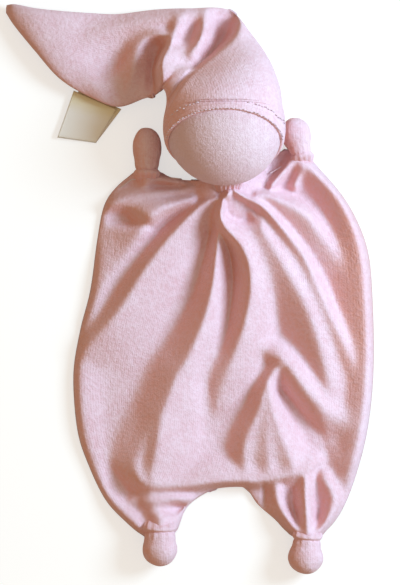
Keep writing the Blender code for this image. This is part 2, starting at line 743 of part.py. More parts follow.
def label_frame():
    """Middle of the label's sewn end, the way along that end, the way out to its fold, its upper side."""
    edge = lower_edge(cap_tip_rings())
    along = edge[2] - edge[4]
    along.z = 0
    along.normalize()
    out = Vector((along.y, -along.x, 0))
    root = edge[3] + along * LABEL_PLACE_SHARE * LABEL_WIDTH + out * 3 * CLEARANCE
    drop = math.asin((root.z - LABEL_LOOP_GAP - LABEL_THICKNESS) / LABEL_LENGTH)
    way = out * math.cos(drop) - Vector((0, 0, math.sin(drop)))
    return root, along, way, along.cross(way) * -1


def build_label(materials, collection):
    """The folded ribbon: one layer out, round the fold and back to the cap's edge."""
    root, along, way, up = label_frame()
    radius = (LABEL_LOOP_GAP + LABEL_THICKNESS) / 2
    path = [(0.0, -radius), (LABEL_LENGTH - radius, -radius)]
    for i in range(1, LABEL_ROLL_STEPS):
        angle = -math.pi / 2 + math.pi * i / LABEL_ROLL_STEPS
        path.append((LABEL_LENGTH - radius + radius * math.cos(angle), radius * math.sin(angle)))
    path += [(LABEL_LENGTH - radius, radius), (0.0, radius)]
    bm = bmesh.new()
    bmesh.ops.create_grid(bm, x_segments=4, y_segments=len(path) - 1, size=1)
    for vert in bm.verts:
        step, lift = path[round((vert.co.y + 1) / 2 * (len(path) - 1))]
        vert.co = root + along * vert.co.x * LABEL_WIDTH / 2 + way * step + up * lift
    label = add_mesh("care_label", finish_bmesh(bm, "care_label"), materials["label_satin"], collection)
    solidify(label, LABEL_THICKNESS).offset = 0


# Joint axes and the part's own origin

def add_pivot(name, place, way, collection):
    """An empty on a joint's axis, with its Z along the axis."""
    pivot = bpy.data.objects.new(name, None)
    pivot.location = place
    pivot.rotation_euler = Vector(way).to_track_quat("Z", "Y").to_euler()
    pivot.empty_display_size = KNOT_RADIUS
    collection.objects.link(pivot)
    return pivot


def hang(names, pivot):
    """Gives objects a parent without moving them."""
    bpy.context.view_layer.update()
    for name in names:
        obj = bpy.data.objects[name]
        obj.parent = pivot
        obj.matrix_parent_inverse = pivot.matrix_world.inverted()


def build_pivots(collection):
    neck = neck_point()
    whole = add_pivot("lovey", (0, 0, 0), (0, 0, 1), collection)
    nod = add_pivot("head_nod", neck, (1, 0, 0), collection)
    turn = add_pivot("head_turn", neck, (0, 1, 0), collection)
    outer_corner = crease_ring(CLEARANCE)[0]
    cap = add_pivot("cap_swing", (outer_corner.x, outer_corner.y, 0), (0, 0, 1), collection)
    root, along, _, _ = label_frame()
    label = add_pivot("label_flap", root, -along, collection)
    hang(["care_label"], label)
    hang(["label_flap", "cap_tip", "cap_seam_thread"], cap)
    hang(["cap_swing", "head_stuffing", "face_cover", "hood", "hood_seam_thread"], turn)
    hang(["cutter_face_cover", "cutter_head_stuffing"], turn)
    hang(["head_turn", "neck_knot", "neck_tie"], nod)
    for name in CORNERS:
        centre, way = corner_tie(name)
        swing = add_pivot(name + "_swing", centre, (way.y, -way.x, 0), collection)
        hang([name + "_cover", name + "_stuffing", name + "_tie"], swing)
        hang([name + "_swing"], whole)
    hang(["head_nod", "front_panel", "back_panel", "edge_seam_thread", "neck_gather"], whole)
    centre_on_origin(whole)


def centre_on_origin(whole):
    """Moves the whole so that the middle of its box is above the origin and its lowest place at 0."""
    bpy.context.view_layer.update()
    graph = bpy.context.evaluated_depsgraph_get()
    places = []
    for obj in bpy.data.objects:
        if obj.type == "EMPTY" or obj.hide_render:
            continue
        seen = obj.evaluated_get(graph)
        places += [seen.matrix_world @ vert.co for vert in seen.to_mesh().vertices]
        seen.to_mesh_clear()
    low = [min(place[axis] for place in places) for axis in range(3)]
    high = [max(place[axis] for place in places) for axis in range(3)]
    whole.location = (-(low[0] + high[0]) / 2, -(low[1] + high[1]) / 2, -low[2])
    bpy.context.view_layer.update()
    for obj in bpy.data.objects:
        if obj.type == "EMPTY":
            print(obj.name, [round(value, 5) for value in obj.matrix_world.translation])


def main():
    clear_scene()
    parts = make_collection("comfort_blanket_lovey")
    cutters = make_collection("cutters")
    materials = make_materials()
    build_blanket(materials, parts)
    build_blanket_seam(materials, parts)
    for name in CORNERS:
        build_corner(name, materials, parts)
    build_neck(materials, parts)
    build_face(materials, parts, cutters)
    build_head_stuffing(materials, parts, cutters)
    build_face_seam(materials, parts)
    build_hood(materials, parts)
    build_cap_tip(materials, parts)
    build_cap_seam(materials, parts)
    build_label(materials, parts)
    build_pivots(parts)


main()
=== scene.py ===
import math

import bmesh
import bpy
import numpy as np
from mathutils import Matrix, Vector, noise


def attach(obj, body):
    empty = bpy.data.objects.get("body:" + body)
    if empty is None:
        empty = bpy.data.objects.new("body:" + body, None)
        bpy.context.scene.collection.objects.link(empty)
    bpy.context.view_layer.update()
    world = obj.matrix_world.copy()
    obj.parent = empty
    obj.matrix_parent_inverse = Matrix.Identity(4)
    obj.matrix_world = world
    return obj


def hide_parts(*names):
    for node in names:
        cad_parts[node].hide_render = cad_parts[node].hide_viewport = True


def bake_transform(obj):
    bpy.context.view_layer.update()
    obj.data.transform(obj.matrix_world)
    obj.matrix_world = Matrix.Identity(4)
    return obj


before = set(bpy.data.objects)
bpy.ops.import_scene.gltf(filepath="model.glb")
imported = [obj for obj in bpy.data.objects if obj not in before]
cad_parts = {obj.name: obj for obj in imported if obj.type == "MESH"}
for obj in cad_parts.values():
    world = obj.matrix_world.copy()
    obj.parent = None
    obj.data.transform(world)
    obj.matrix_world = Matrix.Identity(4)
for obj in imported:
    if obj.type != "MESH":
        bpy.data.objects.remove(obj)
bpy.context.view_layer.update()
print("frame loaded:", len(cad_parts), "nodes")

# Lengths are in millimetres, in the same place as the CAD, and mm turns them into metres. Flat sizes of
# cloth, places in a finish and the stage are in metres.
mm = 0.001
seamGap = 0.02  # vertices closer than this are one
neckPlace = np.array((26.6, 69.1, 28.0))
headPlace = np.array((23.8, 112.5, 37.0))
headHalf = np.array((41.5, 41.0, 37.0))
# Points that were read off the photograph stay in its pixels, and fromPhoto gives their millimetres.
photo = {"pixel": 0.70, "middleAcross": 190, "middleDown": 291}
balls = {name: dict(zip(("body", "tie", "way", "width", "length", "neck", "cuff", "seed", "flat"), values))
         for name, values in {
    # neck is the half width of the gathered cloth at the tie, and cuff what is added to it beside the ball
    "handLeft": ("hand_left", (-30.1, 83.2, 11.3), (0.0, 1.0), 22.5, 31.0, 9.4, -1.6, 1.0, (0.054, 0.016)),
    "handRight": (
        "hand_right", (78.0, 94.3, 11.3), (-0.24, 0.971), 22.5, 27.5, 8.4, -1.2, 5.0, (0.048, 0.016)),
    "footLeft": (
        "foot_left", (-21.1, -166.1, 13.3), (0.0, -1.0), 26.5, 26.0, 11.8, -1.6, 9.0, (0.066, 0.018)),
    "footRight": (
        "foot_right", (81.8, -171.8, 13.3), (-0.070, -0.998), 26.5, 26.0, 10.6, -1.4, 13.0, (0.060, 0.018)),
}.items()}


# small tools

def fromPhoto(x, y):
    return (x - photo["middleAcross"]) * photo["pixel"], (photo["middleDown"] - y) * photo["pixel"]


def ridgesFrom(table):
    # each fold has the roundness of its crest, then points with their place, the crest's height in
    # millimetres, and the width of its slope on the left and on the right of the way it runs
    pixel = photo["pixel"]
    return {name: (crest * pixel, [
        (*fromPhoto(x, y), height, left * pixel, right * pixel) for x, y, height, left, right in points
    ]) for name, (crest, points) in table.items()}


def dentsFrom(table):
    # each dent has points with their place, its depth in millimetres and its width, or its two widths
    pixel = photo["pixel"]
    return {name: [
        (*fromPhoto(x, y), depth, *(width * pixel for width in widths)) for x, y, depth, *widths in points
    ] for name, points in table.items()}


def softStep(low, high, value):
    # 0 below low, 1 above high, and a smooth rise between them
    t = np.clip((np.asarray(value, float) - low) / (high - low), 0, 1)
    return t * t * (3 - 2 * t)


def closeTo(middle, reach, places):
    # 1 up to the first distance from a point, falling to 0 at the second
    return 1 - softStep(*reach, np.linalg.norm(places - np.array(middle)[:2], axis=1))


def smoothPath(points, steps=6):
    # a smooth curve through the points, with this many steps from each to the next
    p = np.array(points, float)
    longer = np.vstack([2 * p[0] - p[1], p, 2 * p[-1] - p[-2]])
    out = []
    for i in range(len(p) - 1):
        a, b, c, d = longer[i:i + 4]
        for t in np.arange(steps) / steps:
            second = (2 * a - 5 * b + 4 * c - d) * t * t
            third = (3 * b - a - 3 * c + d) * t ** 3
            out.append(0.5 * (2 * b + (c - a) * t + second + third))
    out.append(p[-1])
    return np.array(out)


def alongPath(path, shares):
    # the path's values at shares of its length, 0 to 1
    gaps = np.linalg.norm(np.diff(path[:, :2], axis=0), axis=1)
    length = np.r_[0, np.cumsum(gaps)]
    spots = shares * length[-1]
    return np.stack([np.interp(spots, length, values) for values in path.T], -1)


def nearPath(places, path):
    # distance from each place to the path, +1 on its left or -1 on its right, and the path's own values there
    best = np.full(len(places), 1e12)
    side = np.ones(len(places))
    values = np.zeros((len(places), path.shape[1] - 2))
    for a, b in zip(path[:-1], path[1:]):
        run = b[:2] - a[:2]
        off = places - a[:2]
        t = np.clip(off @ run / max(run @ run, 1e-9), 0, 1)
        gap = off - t[:, None] * run
        d = (gap ** 2).sum(1)
        closer = d < best
        best[closer] = d[closer]
        side[closer] = np.sign(run[0] * off[closer, 1] - run[1] * off[closer, 0] + 1e-12)
        values[closer] = a[2:] + t[closer, None] * (b[2:] - a[2:])
    return np.sqrt(best), side, values


def besidePath(places, points, spare):
    # which places lie near a fold or a dent, their distance from it, and its height and width beside them
    path = smoothPath(points)
    reach = path[:, 3:].max() * spare + 1
    low, high = path[:, :2].min(0) - reach, path[:, :2].max(0) + reach
    near = np.all((places > low) & (places < high), axis=1)
    distance, side, values = nearPath(places[near], path)
    return near, distance, values[:, 0], np.where(side > 0, values[:, 1], values[:, -1])


def gridMesh(look):
    # a grid of faces, and each vertex's two shares, 0 to 1
    bm = bmesh.new()
    bmesh.ops.create_grid(bm, x_segments=look["across"], y_segments=look["along"], size=0.5)
    bm.verts.ensure_lookup_table()
    return bm, np.array([(v.co.x + 0.5, v.co.y + 0.5) for v in bm.verts])


def gridSpots(shares, look):
    # each vertex's row and column in its grid
    return np.round(shares * (look["across"], look["along"])).astype(int).T[::-1]


def smoothGrid(grid, passes):
    # thick cloth bends softly: each height moves towards its neighbours', at the rim only along it
    for _ in range(passes):
        grid[1:-1] = 0.25 * grid[:-2] + 0.5 * grid[1:-1] + 0.25 * grid[2:]
        grid[:, 1:-1] = 0.25 * grid[:, :-2] + 0.5 * grid[:, 1:-1] + 0.25 * grid[:, 2:]
    return grid


def layCloth(bm, places, coords):
    # puts the vertices in place, with the cloth's own flat lengths for its knit lines
    for v, p in zip(bm.verts, places):
        v.co = Vector(p) * mm
    layer = bm.loops.layers.uv.new("cloth")
    for face in bm.faces:
        for loop in face.loops:
            loop[layer].uv = coords[loop.vert.index]


def addObject(name, data):
    item = bpy.data.objects.new(name, data)
    bpy.context.scene.collection.objects.link(item)
    return item


def finishPiece(name, bm, material):
    mesh = bpy.data.meshes.new(name)
    bm.to_mesh(mesh)
    bm.free()
    mesh.materials.append(material)
    mesh.shade_smooth()
    return addObject(name, mesh)


def addWall(piece, thickness, offset=-1):
    wall = piece.modifiers.new("wall", "SOLIDIFY")
    wall.thickness = thickness * mm
    wall.offset = offset


def addSubdivision(piece, levels):
    more = piece.modifiers.new("smooth", "SUBSURF")
    more.levels = more.render_levels = levels


def closedPiece(name, bm, material, wall):
    # a tube of cloth, joined along its seam
    bmesh.ops.remove_doubles(bm, verts=bm.verts, dist=seamGap * mm)
    bmesh.ops.recalc_face_normals(bm, faces=bm.faces)
    piece = finishPiece(name, bm, material)
    addWall(piece, wall)
    return piece


# finishes

velourLook = {
    "pile": (0.85, 0.620, 0.745), "pileLight": (0.91, 0.74, 0.87), "pileDeep": (0.75, 0.47, 0.54),
    # painted shade: where the surface faces away from the key light's way, the pile takes this deeper salmon
    # shade colour instead of its lit colour
    "paintedShade": (0.84, 0.43, 0.38), "paintedShadeSpeckle": 0.3, "paintedShadeLightWay": (0.70, 0.23, 0.68), "lightFacing": (-0.10, 0.80),
    # towards the blanket's right edge more of the surface gets the painted shade
    "turnedAcross": (0.088, 0.114), "turnedAlong": (-0.11, -0.02), "turned": 0.36,
    # uneven spots: size, detail, roughness, and the lowest and highest values that count
    "broad": (22, 2, 0.55, 0.35, 0.68), "patchy": (6, 3, 0.55, 0.35, 0.65),
    "speckle": (2.6, 3, 0.65, 0.30, 0.70), "fibre": (0.5, 2, 0.6, 0.3, 0.7),
    # shares of speckle, patches and knit lines in the colour, then of the even pile and the broad spots
    "mottle": (0.55, 0.30, 0.15), "even": 0.35, "broadLight": 0.35,
    "lineGap": 1.7, "line": {"Distortion": 1.6, "Detail": 3, "Detail Scale": 1.2},
    # depths of speckle, knit lines and fibres, as shares of the bump's height
    "depths": (0.9, 0.22, 0.25), "bumpStrength": 0.55, "bumpHeight": 0.6,
    "surface": {
        "Roughness": 0.95, "Specular IOR Level": 0.15,
        "Sheen Weight": 0.35, "Sheen Roughness": 0.45, "Sheen Tint": (1.0, 0.93, 0.98)},
}
# the face has the same painted shade, only milder
faceLook = dict(
    velourLook, pile=(0.84, 0.64, 0.75), pileLight=(0.92, 0.77, 0.87), pileDeep=(0.72, 0.48, 0.56),
    paintedShade=(0.80, 0.54, 0.58), speckle=(2.0, 3, 0.65, 0.30, 0.70), depths=(0.9, 0.12, 0.25))
satinLook = {
    "colour": (0.97, 0.97, 0.96), "surface": {"Roughness": 0.42, "Sheen Weight": 0.15},
    # a warm tint from the seam outwards, stronger in stains
    "warm": (0.86, 0.78, 0.48), "root": (0.016, 0.002), "stainScale": 140, "stain": 0.6, "evenWarm": 0.5,
    "weaveGap": 0.45, "weave": 0.18, "weaveColour": (0.78, 0.76, 0.70),
    "bumpStrength": 0.3, "bumpHeight": 0.08,
}
threadLook = {
    "colour": (0.92, 0.76, 0.84), "dark": 0.75, "surface": {"Roughness": 0.8},
    "twistGap": 0.5, "bumpStrength": 0.4, "bumpHeight": 0.1,
}
bandGap = 0.314  # distance between a wave texture's bands at a scale of 1


class Nodes:
    # a short way to add and join shader nodes
    def __init__(self, name):
        self.material = bpy.data.materials.new(name)
        self.material.use_nodes = True
        self.tree = self.material.node_tree
        self.shader = self.tree.nodes["Principled BSDF"]

    def add(self, kind, **settings):
        # a setting is one of the node's own, or else the value of one of its inputs
        node = self.tree.nodes.new(kind)
        for key, value in settings.items():
            if hasattr(node, key):
                setattr(node, key, value)
            else:
                node.inputs[key].default_value = value
        return node

    def join(self, out, into):
        self.tree.links.new(out, into)

    def give(self, socket, value):
        # a number or a colour is set on the socket, and another node's output is joined to it
        if isinstance(value, (int, float)):
            socket.default_value = value
        elif isinstance(value, tuple):
            socket.default_value = (*value, 1)
        else:
            self.join(value, socket)

    def surface(self, colour, values):
        for key, value in {"Base Color": colour, **values}.items():
            self.give(self.shader.inputs[key], value)

    def blendColour(self, share, first, second):
        node = self.add("ShaderNodeMix", data_type="RGBA")
        for slot, value in ((0, share), (6, first), (7, second)):
            self.give(node.inputs[slot], value)
        return node.outputs[2]

    def number(self, kind, *values):
        node = self.add("ShaderNodeMath", operation=kind)
        for slot, value in enumerate(values):
            self.give(node.inputs[slot], value)
        return node.outputs[0]

    def times(self, first, second):
        return self.number("MULTIPLY", first, second)

    def weigh(self, outputs, shares):
        # the sum of several outputs, each times its own share
        total, *rest = map(self.times, outputs, shares)
        for part in rest:
            total = self.number("ADD", total, part)
        return total

    def ramp(self, value, low, high):
        node = self.add("ShaderNodeMapRange", interpolation_type="SMOOTHSTEP")
        node.inputs["From Min"].default_value, node.inputs["From Max"].default_value = low, high
        self.join(value, node.inputs["Value"])
        return node.outputs["Result"]

    def texture(self, kind, source, **settings):
        node = self.add("ShaderNodeTex" + kind, **settings)
        self.join(source, node.inputs["Vector"])
        return node.outputs["Fac"]

    def cloud(self, source, size, detail, rough, low, high):
        spots = self.texture("Noise", source, Scale=1 / (size * mm), Detail=detail, Roughness=rough)
        return self.ramp(spots, low, high)

    def waves(self, source, way, gap, **settings):
        return self.texture("Wave", source, bands_direction=way, Scale=bandGap / (gap * mm), **settings)

    def bump(self, height, look):
        node = self.add("ShaderNodeBump", Strength=look["bumpStrength"], Distance=look["bumpHeight"] * mm)
        self.join(height, node.inputs["Height"])
        self.join(node.outputs["Normal"], self.shader.inputs["Normal"])


def velour(name, look, onUv=True):
    n = Nodes(name)
    spots = n.add("ShaderNodeTexCoord")
    solid = spots.outputs["Object"]
    flat = spots.outputs["UV"] if onUv else solid
    broad, patchy, speckle, fibre = (
        n.cloud(solid, *look[key]) for key in ("broad", "patchy", "speckle", "fibre"))
    line = n.waves(flat, "X", look["lineGap"], **look["line"])
    mottle = n.weigh((speckle, patchy, line), look["mottle"])
    colour = n.blendColour(mottle, look["pileDeep"], look["pileLight"])
    colour = n.blendColour(look["even"], colour, look["pile"])
    colour = n.blendColour(n.times(broad, look["broadLight"]), colour, look["pileLight"])
    # painted shade: how far each surface faces the key light decides how much of the speckled shade colour it
    # shows
    lightFacing = n.add("ShaderNodeVectorMath", operation="DOT_PRODUCT")
    n.join(spots.outputs["Normal"], lightFacing.inputs[0])
    lightFacing.inputs[1].default_value = look["paintedShadeLightWay"]
    place = n.add("ShaderNodeSeparateXYZ")
    n.join(solid, place.inputs["Vector"])
    rightwards = n.ramp(place.outputs["X"], *look["turnedAcross"])
    upwards = n.ramp(place.outputs["Y"], *look["turnedAlong"])
    turned = n.times(n.times(rightwards, upwards), look["turned"])
    litShare = n.ramp(n.number("SUBTRACT", lightFacing.outputs["Value"], turned), *look["lightFacing"])
    paintedShade = n.blendColour(n.times(speckle, look["paintedShadeSpeckle"]), look["paintedShade"], look["pile"])
    n.bump(n.weigh((speckle, line, fibre), look["depths"]), look)
    n.surface(n.blendColour(litShare, paintedShade, colour), look["surface"])
    return n.material


def thread(name, look):
    n = Nodes(name)
    spots = n.add("ShaderNodeTexCoord")
    twist = n.waves(spots.outputs["Object"], "DIAGONAL", look["twistGap"])
    dark = tuple(look["dark"] * c for c in look["colour"])
    n.bump(twist, look)
    n.surface(n.blendColour(twist, dark, look["colour"]), look["surface"])
    return n.material


def satin(name, look):
    n = Nodes(name)
    flat = n.add("ShaderNodeTexCoord").outputs["UV"]
    place = n.add("ShaderNodeSeparateXYZ")
    n.join(flat, place.inputs["Vector"])
    grid = n.times(n.waves(flat, "X", look["weaveGap"]), n.waves(flat, "Y", look["weaveGap"]))
    stain = n.texture("Noise", flat, Scale=look["stainScale"])
    stained = n.number("ADD", n.times(stain, look["stain"]), look["evenWarm"])
    warm = n.times(n.ramp(place.outputs["Y"], *look["root"]), stained)
    colour = n.blendColour(warm, look["colour"], look["warm"])
    colour = n.blendColour(n.times(grid, look["weave"]), colour, look["weaveColour"])
    n.bump(grid, look)
    n.surface(colour, look["surface"])
    return n.material


blanketVelour = velour("blanket velour", velourLook)
ballVelour = velour("ball velour", velourLook, onUv=False)
faceVelour = velour("face velour", faceLook, onUv=False)
seamThread = thread("seam thread", threadLook)
labelSatin = satin("label satin", satinLook)
print("finishes made")


# the blanket: two layers of velour, the upper one with the folds it lies in

blanket = {
    "across": 220, "along": 260, "flat": (0.250, 0.300),
    "neckPull": 0.55,  # how much of the top edge is drawn in to its middle
    "base": 5.0,  # height that the folds stand on
    "rim": 3.0, "rimRound": 7.0,  # height of the edge, and how far its rounding reaches in
    "tieDrop": 3, "tieReach": (3, 17),  # the edge rises to this far below each tie
    "neckDrop": 4, "neckReach": (8, 42),  # and to this far below the neck
    "domeHeight": 20.0, "domeReach": (0, 34.0),
    "foldPower": 5.0,  # the higher, the more sharply two folds meet
    "foot": 0.22,  # soft foot of a fold's slope, as a share of its height
    "softening": 6, "edgeDrop": 1.2, "edgeTuck": 1.5, "middle": (22, -40),
}
folds = ridgesFrom({
    "leftMain": (2, [
        (216, 199, 22, 10, 7), (202, 206, 21, 20, 8), (183, 223, 20, 30, 9), (163, 246, 18.5, 40, 12),
        (143, 273, 17, 48, 14), (123, 305, 15, 50, 15), (108, 325, 13, 46, 15), (93, 342, 9, 40, 14),
        (82, 357, 5, 30, 12)]),
    "bellyLeft": (2, [
        (219, 226, 16, 10, 7), (216, 258, 17, 14, 10), (211, 295, 18, 22, 16), (201, 329, 18.5, 30, 23),
        (187, 360, 18, 40, 27), (178, 374, 17.5, 45, 28), (169, 398, 17.5, 50, 29),
        (162, 417, 17.5, 50, 29), (157, 450, 16.5, 50, 30), (152, 474, 14, 45, 32)]),
    "middle": (3, [
        (229, 194, 28, 6, 8), (222, 206, 29, 9, 8), (220, 218, 28, 14, 8), (226, 230, 27, 26, 8),
        (238, 243, 26, 34, 10), (246, 257, 25, 38, 13), (250, 274, 24, 38, 15), (250, 295, 23, 36, 17),
        (247, 312, 21, 35, 17), (242, 332, 19, 35, 16), (235, 352, 16, 36, 20), (227, 372, 13, 36, 28),
        (221, 390, 9, 30, 32), (216, 406, 5, 26, 34), (214, 420, 1, 20, 30)]),
    "rightMain": (2, [
        (234, 192, 28, 5, 5), (244, 198, 27, 6, 7), (262, 207, 25, 7, 12), (277, 222, 23, 7, 18),
        (291, 239, 21, 7, 24), (305, 258, 19, 7, 28), (317, 284, 17.5, 7, 30), (328, 309, 16, 8, 30),
        (340, 335, 14.5, 10, 30), (349, 358, 11, 12, 26), (354, 376, 6, 12, 20), (357, 392, 1, 10, 14)]),
    "rightInner": (3.5, [
        (258, 222, 20, 20, 34), (266, 238, 21, 26, 42), (281, 262, 21, 28, 46), (294, 284, 20, 28, 40),
        (305, 305, 19, 28, 34), (314, 328, 17.5, 28, 30), (321, 352, 15.5, 28, 25), (326, 374, 12, 26, 18),
        (329, 394, 8, 24, 12)]),
    "rightUpper": (3.5, [
        (256, 196, 21, 7, 14), (268, 197, 20.5, 7, 20), (280, 202, 20, 8, 28), (294, 208, 19, 9, 34),
        (304, 215, 18, 10, 38), (312, 224, 17, 11, 40), (320, 236, 15, 13, 40), (330, 250, 12, 15, 36),
        (340, 266, 9, 15, 30), (347, 282, 5, 14, 24)]),
    "rightOuter": (5, [
        (302, 166, 11, 8, 10), (315, 173, 13, 9, 14), (333, 188, 15, 9, 18), (348, 212, 16, 10, 24),
        (358, 240, 16, 10, 32), (364, 275, 15, 10, 38), (368, 315, 14, 9, 38), (370, 355, 12.5, 8, 34),
        (369, 395, 11.5, 9, 30), (365, 430, 11, 8, 30), (357, 462, 10, 8, 26)]),
    "rightHandPleatA": (2, [(294, 160, 13, 4, 5), (284, 172, 15, 4, 5), (271, 187, 17, 4, 6)]),
    "rightHandPleatB": (1.5, [(300, 160, 12, 4, 4), (300, 172, 12, 4, 4), (294, 186, 10, 5, 4)]),
    "rightHandPleatC": (1.5, [(305, 161, 11, 5, 3), (313, 170, 12, 5, 4), (324, 184, 10, 6, 5)]),
    "knee": (6, [
        (266, 351, 8, 14, 9), (279, 357, 13, 15, 11), (290, 368, 15.5, 16, 12), (300, 382, 15.5, 17, 13),
        (312, 397, 14.5, 18, 15), (326, 411, 12, 18, 16), (341, 422, 8, 18, 16)]),
    "thighLeft": (2, [
        (282, 361, 12, 8, 8), (271, 376, 14, 10, 10), (263, 392, 15, 14, 12), (260, 405, 15, 22, 14),
        (254, 420, 14, 32, 15), (247, 436, 13, 38, 16), (244, 453, 11.5, 40, 17), (245, 470, 8, 20, 15)]),
    "thighRight": (2.5, [
        (269, 386, 14, 8, 10), (271, 400, 15, 9, 14), (275, 416, 14.5, 12, 24), (280, 433, 14, 15, 34),
        (286, 448, 13, 19, 40), (292, 464, 12, 18, 24)]),
    "thighMiddle": (3, [
        (267, 391, 11, 10, 10), (267, 408, 13.5, 22, 22), (267, 430, 13.5, 34, 34),
        (267, 450, 12.5, 36, 36), (269, 468, 10, 20, 20)]),
    "kneeLeft": (3, [
        (164, 396, 8.5, 16, 24), (151, 424, 10, 16, 25), (140, 450, 10.5, 18, 25), (136, 467, 10.5, 20, 22),
        (140, 480, 11.5, 26, 12)]),
    "hem": (3, [
        (133, 450, 5, 30, 12), (134, 465, 8.5, 36, 9), (142, 481, 12, 32, 6), (158, 486, 12.5, 28, 6),
        (185, 485, 12, 28, 6), (213, 482, 12, 28, 5), (240, 482, 12, 28, 5), (265, 480, 12, 28, 5),
        (290, 475, 12, 26, 5), (308, 469, 9, 22, 6)]),
    "leftMargin": (5, [
        (76, 370, 5, 24, 9), (80, 415, 5, 20, 9), (88, 450, 3.5, 14, 10), (97, 478, 3, 10, 9),
        (112, 507, 6, 14, 9), (134, 528, 11, 18, 8)]),
    "leftChest": (4, [
        (192, 200, 15, 8, 8), (174, 205, 17, 9, 10), (158, 212, 19, 10, 22), (148, 220, 18, 12, 32),
        (138, 234, 12, 14, 28), (124, 256, 7, 12, 26), (104, 284, 5, 9, 30), (90, 318, 4, 8, 22)]),
    "leftShoulder": (3, [
        (214, 190, 13, 9, 6), (182, 190, 10, 10, 7), (152, 194, 10, 12, 8), (128, 199, 10, 14, 8),
        (104, 208, 8, 16, 9)]),
    "leftTop": (3, [(203, 188, 9, 5, 5), (178, 183, 6, 5, 4), (160, 179, 7, 6, 4), (147, 178, 9, 8, 5)]),
    "leftLegRoll": (3, [
        (134, 500, 8, 6, 9), (156, 500, 11, 6, 9), (175, 498, 10, 5, 8), (190, 499, 6, 5, 7)]),
    "leftLegRim": (3, [(190, 500, 6, 5, 6), (187, 512, 7, 5, 8), (178, 527, 10, 6, 10)]),
    "rightLegMiddle": (2.5, [
        (305, 478, 11, 8, 8), (305, 495, 13, 8, 8), (306, 512, 15, 8, 8), (307, 528, 18, 10, 10),
        (308, 541, 21, 13, 13)]),
    "leftLegEnd": (5, [
        (148, 492, 5, 16, 16), (156, 506, 10, 18, 18), (161, 520, 15, 18, 18), (161, 538, 20, 18, 18)]),
    "leftHandEnd": (3, [(146, 190, 5, 12, 12), (147, 181, 9, 10, 10), (147, 172, 14, 9, 9)]),
    "rightHandEnd": (3, [(301, 172, 6, 9, 9), (301, 162, 10, 9, 9), (301, 156, 13, 9, 9)]),
    "rightLegInner": (3, [
        (276, 484, 7, 6, 8), (279, 503, 9, 6, 9), (289, 520, 12, 6, 9), (300, 534, 15, 6, 8)]),
    "rightLegOuter": (3, [
        (324, 478, 7, 9, 6), (333, 498, 8, 9, 7), (328, 517, 11, 9, 7), (316, 534, 15, 8, 6)]),
})
dents = dentsFrom({
    "pocketBetweenFolds": [(226, 202, 5, 5), (231, 211, 7, 6), (241, 218, 6, 7), (256, 222, 3, 7)],
    "leftShoulderDent": [
        (104, 212, 4, 9), (116, 216, 9, 12), (130, 220, 10, 12), (144, 224, 6, 8), (156, 228, 2, 6)],
    "leftTopPocket": [(152, 187, 3, 4), (165, 187, 5, 4), (182, 187, 3, 4)],
    "thighDent": [
        (280, 392, 4, 8), (292, 404, 5, 12), (304, 424, 4, 16), (318, 446, 3, 20), (334, 470, 2, 14)],
    "sideDent": [(332, 404, 1, 12), (336, 424, 2, 16), (338, 446, 2, 15), (338, 468, 1, 12)],
    "leftLegPocket": [(158, 509, 2, 6), (170, 510, 5, 7), (184, 507, 5, 5)],
    "leftKneePocket": [(110, 470, 2, 12), (118, 486, 4, 14), (136, 500, 4, 10)],
    "rightLegDentA": [(292, 492, 3, 6), (291, 505, 5, 8), (297, 520, 3, 5)],
    "rightLegDentB": [(316, 494, 3, 5), (319, 510, 5, 7), (318, 524, 3, 5)],
    "hemSlit": [(264, 486, 5, 3), (265, 497, 6, 3), (263, 508, 3, 3)],
    "middleDent": [(206, 345, 1, 10), (203, 375, 2, 13), (204, 405, 1.5, 13), (204, 430, 1, 10)],
})
edges = {name: [fromPhoto(x, y) for x, y in points] for name, points in {
    "top": [
        (147, 173), (160, 172), (168, 176), (180, 180), (197, 182), (213, 183), (228, 183), (243, 180),
        (256, 172), (268, 161), (279, 152), (290, 151), (299, 157)],
    "left": [
        (147, 173), (135, 173), (118, 185), (104, 205), (97, 240), (90, 290), (80, 330), (73, 375),
        (77, 430), (88, 465), (105, 500), (125, 522), (143, 536), (160, 538)],
    "hem": [
        (160, 538), (176, 531), (185, 511), (195, 500), (213, 490), (235, 487), (247, 490), (258, 505),
        (275, 520), (288, 533), (307, 540)],
    "right": [
        (299, 157), (307, 158), (330, 180), (352, 210), (368, 250), (373, 300), (374, 370), (368, 430),
        (355, 480), (340, 515), (322, 535), (307, 540)],
}.items()}

edgePaths = {name: smoothPath(points) for name, points in edges.items()}
outline = np.vstack([edgePaths["left"], edgePaths["hem"][1:], edgePaths["right"][::-1][1:]])


def clothPatch(shares):
    # places on the lying cloth between its four edges
    u, v = shares[:, 0], 1 - shares[:, 1]
    drawn = u + blanket["neckPull"] * np.sin(2 * np.pi * u) / (2 * np.pi)
    top, hem = alongPath(edgePaths["top"], drawn), alongPath(edgePaths["hem"], u)
    left, right = alongPath(edgePaths["left"], v), alongPath(edgePaths["right"], v)
    w = ((1 - v) * drawn + v * u)[:, None]
    v = v[:, None]
    topLeft, topRight = edgePaths["top"][0], edgePaths["top"][-1]
    hemLeft, hemRight = edgePaths["hem"][0], edgePaths["hem"][-1]
    corners = (1 - v) * ((1 - w) * topLeft + w * topRight) + v * ((1 - w) * hemLeft + w * hemRight)
    return (1 - v) * top + v * hem + (1 - w) * left + w * right - corners


def foldShape(places, ridges, power):
    # the folds' heights to the given power, added up: the highest wins at each place, and they meet softly
    total = np.zeros(len(places))
    foot = blanket["foot"]
    for crest, points in ridges.values():
        near, distance, height, width = besidePath(places, points, 1 + foot)
        share = 1 - (np.sqrt(distance ** 2 + crest ** 2) - crest) / width
        share = np.where(share > foot, share, np.where(share < -foot, 0, (share + foot) ** 2 / (4 * foot)))
        total[near] += (np.maximum(height, 0) * share) ** power
    return total


